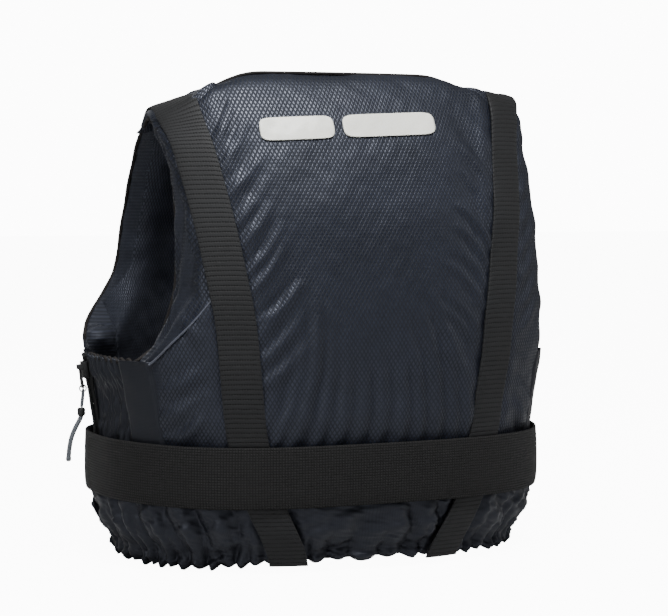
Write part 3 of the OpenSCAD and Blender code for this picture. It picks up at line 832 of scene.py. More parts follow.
@dataclass
class Panel:
    """A padded panel: a foam board with round edges in a cover that puckers where straps and belt hold it."""

    name: str
    back: bool
    finish: Finish
    creases: list[Crease]
    seed: int
    low: float = 60.0
    reach: float = 15.0
    widen: float = 7.0
    skin: float = 0.8
    swell_cap: float = 5.0
    columns: int = 120
    rows: int = 100

    def facing(self, x: np.ndarray, z: np.ndarray) -> np.ndarray:
        """How much of the back's left armhole facing lies at x, z: 0 for none, 1 for all of it."""
        return smooth_step(np.clip((z - 158) / 20, 0, 1)) * (x > 0) * self.back

    def board(self) -> bpy.types.Object:
        """Makes the closed board: two sheets that meet at the edge in a rounded profile.

        The power 2.6 gives a full round edge, and 1.25 the sloping facing of the left armhole.
        """
        o = OUTLINE
        s = np.sin(np.linspace(-1, 1, self.columns) * math.pi / 2)[:, None]
        v = (np.sin((np.linspace(0, 1, self.rows) - 0.5) * math.pi) / 2 + 0.5)[None, :]
        top_of = o.back_top if self.back else o.front_top
        span = o.edge_at(self.back, top_of(np.array(150.0)))
        top = top_of(s * span)
        z = self.low + (top - self.low) * v
        edge = o.edge_at(self.back, z) + self.widen - o.left_cut(z) * (s > 0) * self.back
        x = s * edge * (1 if self.back else -1)
        sloped = self.facing(x, z)
        side_gap = (1 - np.abs(s)) * edge
        top_gap = (1 - v) * (top - self.low) + 0 * side_gap
        low_gap = v * (top - self.low) + 0 * side_gap
        power = 2.6 - 1.35 * sloped
        reach = self.reach + (np.maximum(edge - o.piping_x(z), self.reach) - self.reach) * sloped
        full = rounded(side_gap, reach, power) * rounded(top_gap, 11.0, 2.4) * rounded(low_gap, 10.0, 2.4)
        seam = o.pad / 2 - 3 + 12 * sloped
        tuck = 2.2 * np.clip((np.abs(x) - 158) / 8, 0, 1) * np.clip((172 - z) / 8, 0, 1) * self.back
        sheets = [
            o.shell(self.back, x, z, seam - (seam - self.skin - tuck) * full),
            o.shell(self.back, x, z, seam + (o.pad - self.skin - seam) * full),
        ]
        nu, nv = x.shape
        outer = grid_faces(nu, nv)
        inner = grid_faces(nu, nv, start=nu * nv)[:, ::-1]
        border = np.zeros((nu, nv), dtype=bool)
        border[[0, -1], :] = True
        border[:, [0, -1]] = True
        shared = np.arange(2 * nu * nv)
        shared[nu * nv :][border.ravel()] -= nu * nv
        faces = shared[np.concatenate([outer, inner])]
        points = np.concatenate([sheet.reshape(-1, 3) for sheet in sheets])
        used = np.unique(faces)
        renumber = np.zeros(len(points), dtype=int)
        renumber[used] = np.arange(len(used))
        return make_piece(self.name, points[used], renumber[faces].tolist(), np.zeros((len(used), 2)))

    def inset(self, points: np.ndarray) -> np.ndarray:
        """How far each point lies inwards of the panel's outer face, in millimetres."""
        o = OUTLINE
        x, y, z = points.T
        side = 1.0 if self.back else -1 / o.front_flat
        t = np.zeros_like(x)
        for _ in range(3):
            a = o.width_at(z)
            f = np.maximum(o.rim(np.clip(np.abs(x * a / (a - t)), 0, a * 0.995) / a), 0.35)
            t = np.clip((o.depth_at(self.back, z) - o.half_depth * (1 - f) - side * y) / f, -8, o.pad + 8)
        return t

    def held(self, points: np.ndarray) -> np.ndarray:
        """How firmly each point is held: fully at the edges, the webbing and the belt, and loosely inside."""
        o = OUTLINE
        x, _, z = points.T
        t = self.inset(points)
        wide = np.abs(x * o.width_at(z) / (o.width_at(z) - t))
        strap = np.clip(1.6 - np.abs(wide - o.strap_x(self.back, z)) / 11, 0, 1) * (t < o.pad * 0.6)
        belt = np.clip(1.5 - np.abs(z - 79) / 24, 0, 1)
        edge = np.clip(1 - (o.edge_at(self.back, z) + self.widen - wide) / 9, 0, 1)
        seam = np.clip(1.3 - np.abs(wide - o.piping_x(z)) / 7, 0, 1) * self.facing(x, z)
        edge = np.maximum(edge, seam)
        top = (o.back_top if self.back else o.front_top)(wide)
        neck = np.clip(1 - (top - z) / 8, 0, 1)
        return np.clip(np.maximum.reduce([strap, belt, edge, neck, 0.05 + 0 * x]), 0, 1)

    def weave(self, points: np.ndarray) -> np.ndarray:
        """Cloth coordinates: length along the outline plus the way round the edge, and height."""
        o = OUTLINE
        x, _, z = points.T
        t = self.inset(points)
        a = o.width_at(z)
        # The faces count as flat, so that their folds don't bend the pattern.
        t = np.clip((t - 8) / (o.pad - 16), 0, 1) * o.pad
        u = o.arc(x * a / (a - t), z) + np.clip(x / 60, -1, 1) * t
        return np.stack([u, z], axis=-1)

    def crumple(self, piece: bpy.types.Object) -> None:
        """Moves the cover's points along their normals: folds, small creases and pressed lines."""
        o = OUTLINE
        points, normals = vertex_array(piece.data), vertex_array(piece.data, "normal")
        x, _, z = points.T
        t = self.inset(points)
        a = o.width_at(z)
        wide = np.abs(x * a / (a - t))
        face = np.clip(1 - t / (o.pad * 0.55), 0, 1)
        lift = sum(fold.lift(x, z) for fold in self.creases) * face
        gap = np.abs(wide - o.strap_x(self.back, z)) - 15
        pressed = 1.2 * (gap < 0) * (1 - np.exp(-((gap / 6) ** 2)))
        lift += face * (1.5 * np.exp(-(((gap - 7) / 6) ** 2)) - pressed)
        lift += face * (2.6 * np.exp(-(((z - 122) / 15) ** 2)) - 2.0 * np.exp(-(((z - 79) / 22) ** 2)))
        edge_gap = o.edge_at(self.back, z) + self.widen - wide
        side = np.clip(1 - edge_gap / 40, 0, 1)
        pucker = ripple(np.stack([z, 0.25 * wide], axis=-1), 22, self.seed + 5)
        lift += 0.9 * side * pucker * (t < o.pad) * np.clip((z - 150) / 20, 0.3, 1)
        lift += 0.5 * ripple(points * [1, 1, 0.45], 30, self.seed) + 0.22 * ripple(points, 13, self.seed + 1)
        beyond = wide - o.piping_x(z)
        pull = np.sin((z + 2.2 * beyond) / 9 + 1.5 * np.sin(z / 21)) * np.clip(beyond / 10, 0, 1)
        lift += 1.3 * pull * self.facing(x, z)
        piece.data.vertices.foreach_set("co", ((points + normals * lift[:, None]) * MM).ravel())

    def build(self, replaces: tuple[str, ...]) -> bpy.types.Object:
        piece = self.board()
        swell(piece, self.held, 4.6, 3.5, self.swell_cap)
        self.crumple(piece)
        for layer in list(piece.data.uv_layers):
            piece.data.uv_layers.remove(layer)
        set_weave(piece.data, self.weave(vertex_array(piece.data)))
        piece.data.shade_smooth()
        dress(piece, self.finish, replaces=replaces)
        return piece


def back_creases() -> list[Crease]:
    """Folds of the back: fanning up and inwards from the straps, and rising from the belt."""
    rng = np.random.default_rng(11)
    folds = []
    for k in range(11):
        z = 336 - 19 * k
        edge = float(OUTLINE.strap_x(True, np.array(float(z)))) - 13
        for side in (1, -1):
            reach, rise = rng.uniform(20, 30) + 1.6 * k, rng.uniform(38, 52) - 0.8 * k
            start = z + rng.uniform(-6, 6)
            width, height = rng.uniform(3.6, 5.4), rng.uniform(1.3, 2.3)
            folds.append(Crease(side * edge, start, side * (edge - reach), start + rise, width, height))
    for x, lean, rise, size in (
        (84, -26, 96, 1.9), (70, -20, 128, 2.2), (50, -10, 118, 1.8), (33, -4, 104, 1.9), (16, 0, 92, 1.6),
        (-2, 4, 84, 1.7), (-20, 6, 96, 1.7), (-38, 12, 92, 1.8), (-54, 18, 112, 2.0), (-70, 22, 126, 2.1),
        (-84, 22, 96, 1.8),
    ):
        folds.append(Crease(x, 97, x + lean, 99 + rise, rng.uniform(4.5, 6.5), 1.5 * size))
    for side in (1, -1):
        for x, z, lean, rise in (
            (158, 106, 28, 20), (160, 124, 30, 24), (161, 144, 30, 26), (150, 100, 20, 46),
        ):
            folds.append(Crease(side * x, z, side * (x - lean), z + rise, rng.uniform(4, 6), 1.8))
        for k in range(7):
            z = 320 - 22 * k
            folds.append(Crease(side * (140 + 3 * (k % 2)), z, side * 163, z + 16 + 2 * k, 4.5, 1.6))
    return folds


def front_creases() -> list[Crease]:
    """Folds of the front: fewer and softer, from the armholes and above the belt."""
    rng = np.random.default_rng(23)
    folds = [
        Crease(
            side * 130,
            300 - 32 * k,
            side * (70 - 6 * k),
            262 - 34 * k,
            rng.uniform(7, 10),
            rng.uniform(0.9, 1.5),
        )
        for k in range(5)
        for side in (-1, 1)
    ]
    folds += [
        Crease(
            x,
            100,
            x + rng.uniform(-14, 14),
            150 + rng.uniform(0, 40),
            rng.uniform(7, 10),
            rng.uniform(0.9, 1.6),
        )
        for x in np.linspace(-150, 150, 13)
    ]
    return folds


@dataclass
class ShoulderPad:
    """The padded strip over a shoulder: a flat oval carried along the crest's curve."""

    side: int
    name: str
    inner: float = 113.0
    outer: float = 163.0
    thickness: float = 16.0
    span: float = 66.0
    lap: float = 9.0
    steps: int = 90
    around: int = 72

    def build(self) -> bpy.types.Object:
        """Makes the strip and dresses it."""
        o = OUTLINE
        reach = np.linspace(-self.lap, self.span + self.lap, self.steps)[:, None]
        p = np.clip(reach / self.span, 0, 1)
        turn = np.linspace(0, 2 * math.pi, self.around, endpoint=False)[None, :]
        # A squared oval: the fourth root keeps its faces flat and its edges round.
        cx = np.sign(np.cos(turn)) * np.abs(np.cos(turn)) ** 0.55
        cy = np.sign(np.sin(turn)) * np.abs(np.sin(turn)) ** 0.75
        middle, half = (self.inner + self.outer) / 2, (self.outer - self.inner) / 2
        x = middle + half * cx + 0 * p
        t = self.thickness / 2 - self.thickness / 2 * cy + 0 * p
        points = o.crest(x, p + 0 * x, t)
        rear = o.shell(True, x, o.back_top(x) + 1.2 + np.minimum(reach, 0), t + 1.2)
        past = np.maximum(reach - self.span, 0)
        fore = o.shell(False, x, o.front_shoulder + 1.2 - past + 0 * x, t + 1.2)
        reach = reach[..., None]
        points = np.where(reach < 0, rear, np.where(reach > self.span, fore, points))
        bumps = ripple(points * [0.5, 1, 1], 20, 31 + self.side) + 0.5 * ripple(points, 9, 37)
        points[..., 2] += 0.9 * bumps * (t > -1)
        weave = np.stack([x + 14 * cy, 1.7 * reach[..., 0] + 0 * x], axis=-1)
        faces = grid_faces(self.steps, self.around, False, True)[:, ::-1].tolist()
        last = (self.steps - 1) * self.around
        faces += [list(range(self.around))[::-1], list(range(last, last + self.around))]
        if self.side < 0:
            points = points * [-1, 1, 1]
            faces = [face[::-1] for face in faces]
        piece = make_piece(self.name, points, faces, weave)
        end = self.name.rsplit("_", 1)[1]
        dress(piece, DOBBY, replaces=(f"shoulder_cover_{end}", f"shoulder_foam_{end}"))
        return piece


# ----------------------------------------------------------------------------------------- webbing


@dataclass
class ShoulderStrap:
    """Webbing from the hem up the back, over the shoulder and down to its adjuster."""

    side: int
    width: float = 30.0
    thickness: float = 1.9
    lift: float = 2.6
    adjuster_z: float = 302.0

    def path(self, off: np.ndarray, v: np.ndarray) -> np.ndarray:
        """Points of the webbing: off across it, and v from 0 at the hem to 1 at the adjuster."""
        o = OUTLINE
        low, high = 0.62, 0.84
        z_back = 5 + (o.back_top(np.array(o.crest_x)) + 1.2 - 5) * np.clip(v / low, 0, 1)
        x_back = o.strap_x(True, z_back) + off
        back = o.shell(True, x_back, z_back, -self.lift)
        skirt = o.width_at(z_back) - 10
        proud = 5.5 + 1.5 * np.clip((50 - z_back) / 20, 0, 1)
        skirt_y = (o.girth_depth(z_back) + proud) * o.rim(x_back / skirt)
        back[..., 1] = np.where(z_back < 58, skirt_y, back[..., 1])
        p = np.clip((v - low) / (high - low), 0, 1)
        crest = o.crest(o.crest_x + off + 0 * v, p, -self.lift)
        z_top = o.front_shoulder + 1.2
        z_front = z_top + (self.adjuster_z - o.front_shoulder - 1.2) * np.clip((v - high) / (1 - high), 0, 1)
        front = o.shell(False, o.strap_x(False, z_front) + off, z_front, -self.lift)
        v = v[..., None]
        return np.where(v < low, back, np.where(v < high, crest, front))

    def build(self) -> bpy.types.Object:
        """Makes the webbing, smooths its path and dresses it."""
        across = np.linspace(-1, 1, 17)
        v = np.linspace(0, 1, 420)
        off, grid_v = np.meshgrid(across * self.width / 2, v, indexing="ij")
        points = self.path(off, grid_v)
        kernel = np.hanning(23) / np.hanning(23).sum()
        padded = np.pad(points, ((0, 0), (11, 11), (0, 0)), mode="reflect", reflect_type="odd")
        points = np.apply_along_axis(lambda line: np.convolve(line, kernel, mode="valid"), 1, padded)
        outward = points / np.linalg.norm(points * [1, 1, 0.2], axis=-1, keepdims=True)
        wave = ripple(np.stack([grid_v * 620, off * 0.3], axis=-1), 60, 41 + self.side)
        points = points + outward * (0.7 * wave[..., None] - 0.5 * np.abs(across[:, None, None]) ** 4)
        steps = np.linalg.norm(np.diff(points[8], axis=0), axis=1)
        reach = np.concatenate([[0], np.cumsum(steps)])
        weave = np.stack(np.broadcast_arrays(off, reach[None, :]), axis=-1)
        if self.side < 0:
            points = (points * [-1, 1, 1])[::-1]
            weave = weave[::-1]
        end = "left" if self.side > 0 else "right"
        piece = grid_piece(
            f"shoulder_webbing_{end}", points, weave[..., ::-1], thickness=self.thickness, round_edge=0.5
        )
        return dress(piece, STRAP_WEB, replaces=(f"shoulder_strap_{end}",))


@dataclass
class FrontStrap:
    """Webbing on the front, from under the belt up to the adjuster, and its loose tail."""

    side: int
    width: float = 30.0

    def strip(
        self, name: str, low: float, high: float, lift: float, width: float, node: str
    ) -> bpy.types.Object:
        """Makes one strip between two heights, lift outwards of the cover."""
        across = np.linspace(width / 2, -width / 2, 13)
        off, z = np.meshgrid(across, np.linspace(low, high, 120), indexing="ij")
        sag = 0.8 * ripple(np.stack([z, off * 0.2], axis=-1), 45, 53 + self.side)
        points = OUTLINE.shell(False, OUTLINE.strap_x(False, z) + off, z, -lift - sag)
        weave = np.stack([z, off], axis=-1)
        if self.side < 0:
            points = (points * [-1, 1, 1])[::-1]
            weave = weave[::-1]
        piece = grid_piece(name, points, weave, thickness=1.8, round_edge=0.4)
        return dress(piece, STRAP_WEB, replaces=(node,))

    def build(self) -> None:
        """Makes the anchor strip and the tail."""
        end = "left" if self.side > 0 else "right"
        self.strip(f"front_webbing_{end}", 62, 271, 3.6, self.width, f"front_strap_{end}")
        self.strip(f"webbing_tail_{end}", 201, 270, 7.4, self.width - 2, f"strap_tail_{end}")


@dataclass
class WaistBelt:
    """The broad belt round the waist, bridging the hollow sides, and its tail on the front."""

    low: float = 54.0
    high: float = 103.0
    thickness: float = 2.2
    offset: float = 7.4

    def build(self) -> None:
        """Makes the belt and its tail."""
        o = OUTLINE
        phi, z = np.meshgrid(np.linspace(-166, 166, 760), np.linspace(self.low, self.high, 21), indexing="ij")
        reach = phi / 166 * 520
        # The belt lies flat where the keeper slides on it.
        loose = np.clip((114 - phi) / 14, 0, 1)
        wave = 0.8 * loose * ripple(np.stack([reach, z * 0.5], axis=-1), 90, 61)
        cup = 1.1 * loose * (np.abs(z - 78.5) / 24.5) ** 3
        shift = 1.6 * loose * ripple(np.stack([reach, 0 * z], axis=-1), 260, 67)
        points = o.girth(phi, z, -self.offset - wave + cup)
        points[..., 2] += shift
        steps = np.linalg.norm(np.diff(points[:, 10], axis=0), axis=1)
        along = np.concatenate([[0], np.cumsum(steps)])
        weave = np.stack(np.broadcast_arrays(along[:, None], z), axis=-1)
        belt = grid_piece("belt_webbing", points, weave, thickness=self.thickness, round_edge=0.6)
        dress(belt, BELT_WEB, replaces=("waist_belt",))
        up = np.linspace(self.low + 1, self.high - 1, 17)
        phi, z = np.meshgrid(np.linspace(122, 163, 120), up, indexing="ij")
        tail = grid_piece(
            "belt_webbing_tail",
            o.girth(phi, z, -self.offset - 3.2),
            np.stack([phi * 2.6, z], axis=-1),
            thickness=2.0,
            round_edge=0.6,
        )
        dress(tail, BELT_WEB, replaces=("belt_tail",))


# ---------------------------------------------------------------------------------- gathered cloth


@dataclass
class Skirt:
    """The gathered skirt under the belt, with its elastic hem: deep folds that crowd at the hem."""

    first: float = 105.2
    last: float = 457.2
    top: float = 66.0
    girth: float = 940.0
    ruffle: float = 13.5
    columns: int = 860
    rows: int = 48

    def build(self) -> None:
        """Makes the skirt with its hem, and the elastic inside it."""
        o = OUTLINE
        around = np.linspace(self.first, self.last, self.columns)
        phi, v = np.meshgrid(around, np.linspace(0, 1, self.rows), indexing="ij")
        arc = (phi - self.first) / 360 * self.girth
        ground = np.stack([arc, 0 * arc], axis=-1)
        phase = 2 * math.pi * arc / self.ruffle + 2.0 * ripple(ground, 60, 71) + 1.2 * ripple(ground, 27, 72)
        broad = 2 * math.pi * arc / (2.3 * self.ruffle) + 2.6 * ripple(ground, 120, 78)
        size = 1 + 0.4 * ripple(ground, 45, 73)
        z0 = self.top * v
        near_hem = np.interp(z0, [0, 8, 16, 30, 48, 66], [1.0, 0.95, 0.75, 0.35, 0.12, 0.0])
        near_belt = np.interp(z0, [0, 8, 18, 34, 52, 66], [0.15, 0.3, 0.8, 1.0, 0.75, 0.25])
        drift = 0.9 * np.sin(z0 / 15 + 2.5 * ripple(ground, 110, 74)) + z0 / 34 * ripple(ground, 150, 79)
        # The size of a sine has round tops and sharp valleys, like cloth that is drawn up.
        small = 2 * np.abs(np.sin(0.5 * (phase + 0.5 * drift))) - 1.3
        large = 2 * np.abs(np.sin(0.5 * (broad + 1.6 * drift))) - 1.3
        back = np.cos(np.radians(phi)) > 0
        at_strap = np.abs(np.abs(o.girth(phi, z0, 0.0)[..., 0]) - o.strap_x(True, np.clip(z0, 8, None))) - 15
        pressed = np.where(back, 0.25 + 0.75 * np.clip(at_strap / 7, 0, 1), 1.0)
        puff = np.interp(z0, [0, 5, 11, 15, 24, 36, 50, 66], [0.5, 2.5, -0.5, -1.0, 2.5, 4.5, 2.5, 0.0])
        wrinkle = 1.3 * ripple(np.stack([arc + z0, z0 * 1.3], axis=-1), 19, 75)
        wrinkle += 0.6 * ripple(np.stack([arc - z0, z0 * 1.7], axis=-1), 8, 76)
        t = 1.0 - pressed * (puff + 2.8 * near_hem * size * small + 3.6 * near_belt * large + 0.9 * wrinkle)
        scallop = 1.6 * (1.2 - small) * np.clip(1 - z0 / 14, 0, 1)
        # The hem rides up in the middle of the back, and stands on the ground at the left.
        x = o.girth(phi, 0 * z0, 0.0)[..., 0]
        lifted = np.interp(x, [-180, -100, -20, 60, 100, 130], [2, 4, 6, 7, 3, 0])
        z = z0 + scallop + (0.9 * np.sin(phase * 0.5) + lifted * back) * np.clip(1 - z0 / 30, 0, 1)
        points = o.girth(phi, np.clip(z, 0.3, None), np.maximum(t, -8.5))
        piece = grid_piece("gathered_skirt", points, np.stack([arc, z0], axis=-1), thickness=0.9)
        dress(piece, TAFFETA, replaces=("hem_skirt", "hem_channel"))
        around = np.linspace(self.first + 3, self.last - 3, 500)
        phi, z = np.meshgrid(around, np.linspace(8, 15, 5), indexing="ij")
        arc = (phi - self.first) / 360 * self.girth
        wavy = ripple(np.stack([arc, 0 * arc], axis=-1), 20, 77)
        elastic = grid_piece(
            "hem_elastic_band",
            o.girth(phi, z, 8.5 + 0.6 * wavy),
            np.stack([arc, z], axis=-1),
            thickness=1.2,
            round_edge=0.3,
        )
        dress(elastic, ELASTIC, replaces=("hem_elastic",))


@dataclass
class SideCloth:
    """Elastic-gathered cloth between the back panel and the zip, or the front panel: upright folds."""

    name: str
    node: str
    rear: float
    front: float
    mirrored: bool = False
    seed: int = 81

    def build(self) -> bpy.types.Object:
        """Makes the gathered cloth."""
        o = OUTLINE
        columns = max(60, int(abs(self.rear - self.front) * 2.6))
        along = np.linspace(self.rear, self.front, columns)
        y, z = np.meshgrid(along, np.linspace(60, 168, 90), indexing="ij")
        ground = np.stack([y, 0 * y], axis=-1)
        phase = 2 * math.pi * y / 8.5 + 1.6 * ripple(ground, 30, self.seed) + 0.5 * np.sin(z / 17 + y / 11)
        fold = np.sin(phase) + 0.4 * np.sin(2 * phase + 1)
        bands = 1 - 0.45 * sum(np.exp(-(((z - level) / 6) ** 2)) for level in (84, 116, 144))
        # Where the cloth laps over the back panel, its gathers stop short of the lap.
        plain, fade = (34, 9) if self.rear > 60 else (0, 5)
        ends = np.clip((self.rear - plain - y) / fade, 0, 1)
        ends = ends * np.clip((y - self.front) / 5, 0, 1)
        small = ripple(np.stack([y * 2, z], axis=-1), 13, self.seed + 1)
        lap = np.clip((y - 48) / 14, 0, 1)
        t = 6.5 - 7.6 * smooth_step(lap) + 6 * np.clip((y - 85) / 5, 0, 1)
        deep = 2 * np.abs(np.sin(0.5 * phase + 0.6 * np.sin(z / 13))) - 1.2
        tiers = 2.2 * np.cos((z - 100) / 10.3)
        t = t - (2.6 * deep * bands + 1.2 * fold * bands + 0.9 * small + tiers) * ends
        t = t - 0.5 * ripple(np.stack([y, z], axis=-1), 26, self.seed + 2)
        z = z + 1.6 * fold * ends * np.clip((z - 150) / 12, 0, 1)
        points = o.flank(y, z, t)
        weave = np.stack([y * 1.6, z], axis=-1)
        if self.mirrored:
            points = (points * [-1, 1, 1])[::-1]
            weave = weave[::-1]
        piece = grid_piece(self.name, points, weave, thickness=0.8)
        return dress(piece, SHADED_SIDE_TAFFETA, replaces=(self.node,))


# -------------------------------------------------------------------------------------------- trim


@dataclass
class Trim:
    """Bindings, piping and the reflective bars."""

    radius: float = 1.5

    def neck(self) -> None:
        """Makes the binding round the neck opening."""
        o = OUTLINE
        x = np.linspace(-106, 106, 60)
        back = o.shell(True, x, o.back_top(x) + 0.2, 13.0)
        p = np.linspace(0.14, 0.86, 14)
        left = o.crest(np.full(14, 113.5), p, 6.0)
        slope = 2.5 * (o.front_shoulder - o.front_neck) / o.neck_half * (np.abs(x) / o.neck_half) ** 1.5
        front = o.shell(False, x[::-1], (o.front_top(x) + 0.4 * np.sqrt(1 + slope**2))[::-1], 13.0)
        path = np.concatenate([back, left, front, left[::-1] * [-1, 1, 1]])
        kernel = np.ones(7) / 7
        wrapped = np.concatenate([path[-3:], path, path[:3]])
        path = np.stack([np.convolve(wrapped[:, k], kernel, mode="valid") for k in range(3)], axis=-1)
        piece = tube_piece("neck_binding_tape", path, self.radius, 12, True, (0, 0, 1))
        dress(piece, BINDING, replaces=("neck_binding",))

    def armhole(self, side: int) -> None:
        """Makes the binding round one armhole; on the left it stops each side of the zip."""
        o = OUTLINE
        open_ = side > 0
        fore = np.linspace(-44 if open_ else -24, -58, 8)
        low_front = o.flank(fore, 167.0 + 1.5 * np.sin(fore / 1.7), 5.0)
        z = np.linspace(180, 356, 46)
        front = o.shell(False, o.edge_at(False, z) + 4.2, z, 5.5)
        crest = o.crest(np.full(12, 164.0), np.linspace(0.84, 0.16, 12), 9.0)
        z = z[::-1]
        back = o.shell(True, o.edge_at(True, z) + 5.8 - o.left_cut(z) * open_, z, 27.0 if open_ else 15.0)
        rear = np.linspace(66, -20, 40)
        low_back = o.flank(rear, 167.0 + 1.5 * np.sin(rear / 1.35), 5.0)
        path = smooth_path(np.concatenate([low_front, front, crest, back, low_back]), 320, not open_)
        if side < 0:
            path = path * [-1, 1, 1]
        end = "left" if side > 0 else "right"
        piece = tube_piece(f"armhole_binding_tape_{end}", path, 1.6, 10, not open_, (1, 0, 0))
        dress(piece, BINDING, replaces=(f"armhole_binding_{end}",))

    def piping(self) -> None:
        """Makes the fine piping along the back's left armhole, where its face turns into the facing; its
        light colour is a painted highlight.
        """
        o = OUTLINE
        z = np.linspace(330, 166, 150)
        path = o.shell(True, o.piping_x(z) + 0.6, z, 1.0)
        piece = tube_piece("armhole_piping", path, 0.9, 8, False, (1, 0, 0))
        dress(piece, PIPING_HIGHLIGHT)

    def bars(self, cover: bpy.types.Object) -> None:
        """Makes the reflective bars: rounded rectangles on the back's cover, rising a little to the right."""
        o = OUTLINE
        parts = []
        for x0, x1 in ((-66.0, 16.0), (24.0, 84.0)):
            middle, half = (x0 + x1) / 2, (x1 - x0) / 2
            ring = np.linspace(0, 2 * math.pi, 160, endpoint=False)
            # A squared oval: the power 0.22 gives a rectangle with rounded corners.
            cx = np.sign(np.cos(ring)) * np.abs(np.cos(ring)) ** 0.22
            cz = np.sign(np.sin(ring)) * np.abs(np.sin(ring)) ** 0.5
            share = np.linspace(0, 1, 26)[:, None]
            x = middle + half * cx * share
            z = 354 - 0.045 * x + 9.0 * cz * share
            parts.append(lay_on(o.shell(True, x, z, 0.0)[:, ::-1], cover, 0.55))
        faces, points, weave = [], [], []
        for part in parts:
            start = sum(len(p) for p in points)
            faces += grid_faces(*part.shape[:2], wrap_v=True, start=start).tolist()
            points.append(part.reshape(-1, 3))
            weave.append(part.reshape(-1, 3)[:, [0, 2]])
        piece = make_piece("reflective_print", np.concatenate(points), faces, np.concatenate(weave))
        weld = piece.modifiers.new("weld", "WELD")
        weld.merge_threshold = 0.01 * MM
        solid = piece.modifiers.new("film", "SOLIDIFY")
        solid.thickness = 0.9 * MM
        solid.offset = -1
        dress(piece, REFLECTIVE, replaces=("reflective_bars",))


# ---------------------------------------------------------------------------------------- side zip


@dataclass
class SideZip:
    """The side zip: two coils on two tapes, and the pull's cord loop, lock, tail and sealed end."""

    phi: float = 100.0
    y: float = -32.0
    top: float = 164.0
    low: float = 14.0
    pitch: float = 1.5
    loop_radius: float = 0.9
    tail_radius: float = 2.0
    loop_route: list[list[float]] = field(
        default_factory=lambda: [
            [193.5, -33.3, 122.4], [193.2, -33.9, 125], [192.8, -34.2, 128], [192.4, -34, 131.5],
            [192.1, -33.7, 134.8], [192, -32.9, 136.7], [192, -32, 137.05], [192, -31.1, 136.7],
            [192.1, -30.3, 134.8], [192.4, -30, 131.5], [192.8, -29.8, 128], [193.2, -30.1, 125],
            [193.5, -30.7, 122.4],
        ]
    )
    tail_route: list[list[float]] = field(
        default_factory=lambda: [
            [193.8, -32, 116.2], [194.1, -32, 114.3], [195.3, -32, 111.6], [197.2, -32, 108.2],
            [199.2, -32.1, 104.4], [201, -32.4, 100.2], [202.4, -32.8, 95.8], [203.3, -33.2, 91],
            [203.9, -33.6, 86.5], [204.2, -34, 82], [204.3, -34.1, 80.4],
        ]
    )

    def line(self, w: np.ndarray, z: np.ndarray, t: np.ndarray | float) -> np.ndarray:
        """Points on the zip: w across it towards the front, z up, t inwards."""
        x = OUTLINE.girth(np.full_like(z, self.phi), z, t)[..., 0]
        return np.stack([x, self.y - w + 0 * x, z + 0 * x], axis=-1)

    def coil(self, way: int, node: str) -> None:
        """Makes one coil: a helix whose turns reach towards the other coil."""
        turns = (self.top - self.low) / self.pitch
        angle = np.linspace(0, 2 * math.pi * turns, int(turns * 14))
        z = self.low + angle / (2 * math.pi) * self.pitch
        # The two coils mesh: each reaches over the middle, half a turn from the other.
        turn = angle + (math.pi if way < 0 else 0)
        w = way * (1.3 + 1.5 * np.cos(turn))
        path = self.line(w, z, 2.2 + 0.85 * np.sin(turn))
        piece = tube_piece(f"{node}_teeth", path, 0.34, 6, False, (0.1, 0.02, 1))
        dress(piece, COIL, replaces=(node,))

    def tape(self, way: int, node: str) -> None:
        """Makes one tape."""
        up = np.linspace(self.low - 10, self.top + 3, 90)
        w, z = np.meshgrid(np.linspace(0.5, 11.5, 9), up, indexing="ij")
        wave = 0.4 * ripple(np.stack([z, w], axis=-1), 26, 91 + way)
        points = self.line(way * w, z, 3.4 + wave)
        weave = np.stack([w, z], axis=-1)
        if way < 0:
            points, weave = points[::-1], weave[::-1]
        piece = grid_piece(f"{node}_cloth", points, weave, thickness=0.8)
        dress(piece, ZIP_TAPE, replaces=(node,))

    def cords(self) -> None:
        loop_path = smooth_path(np.array(self.loop_route), 40)
        loop = tube_piece("zip_pull_loop", loop_path, self.loop_radius, 14, False, (1, 0, 0))
        dress(loop, CORD, "zip_pull", ("zip_pull_cord",))
        tail_path = smooth_path(np.array(self.tail_route), 40)
        tail = tube_piece("zip_pull_tail", tail_path, self.tail_radius, 18, False, (0, 1, 0))
        dress(tail, CORD, "zip_pull", ("zip_cord_tail",))
        end = self.sealed_end()
        lock = self.lock()

    def turned(
        self, name: str, profile: np.ndarray, base: np.ndarray, node: str, finish: Finish
    ) -> bpy.types.Object:
        """Makes a round piece by turning a profile of (radius, height) about a vertical line."""
        turn = np.linspace(0, 2 * math.pi, 32, endpoint=False)
        ring = np.stack([np.cos(turn), np.sin(turn), 0 * turn], axis=-1)
        points = base + profile[:, None, :1] * ring[None] + profile[:, None, 1:] * np.array([0, 0, 1.0])
        faces = grid_faces(len(profile), 32, False, True)[:, ::-1].tolist()
        last = (len(profile) - 1) * 32
        faces += [list(range(32))[::-1], list(range(last, last + 32))]
        weave = np.stack(np.broadcast_arrays(turn[None] * 3.0, profile[:, 1:]), axis=-1)
        return dress(make_piece(name, points, faces, weave), finish, "zip_pull", (node,))

    def lock(self) -> bpy.types.Object:
        """Makes the cord lock: a small barrel with a waist and rounded ends."""
        profile = np.array(
            [
                [1.9, 0], [2.6, 0.15], [3.0, 0.6], [3.3, 1.5], [3.4, 2.4], [3.15, 3.5],
                [3.4, 4.6], [3.3, 5.5], [3.0, 6.4], [2.6, 6.85], [1.9, 7],
            ]
        )
        base = np.array([193.7, self.y, 115.0])
        return self.turned("zip_pull_lock", profile, base, "zip_cord_lock", ACETAL)

    def sealed_end(self) -> bpy.types.Object:
        """Makes the cord's melted end: a short sleeve with a flattened tip."""
        profile = np.array(
            [[0.7, 0], [1.5, 0.25], [2.1, 0.9], [2.3, 1.8], [2.25, 3.0], [2.15, 3.8], [1.9, 4.2]]
        )
        return self.turned("zip_pull_end", profile, np.array([204.3, -34.2, 77.0]), "zip_cord_end", CORD)

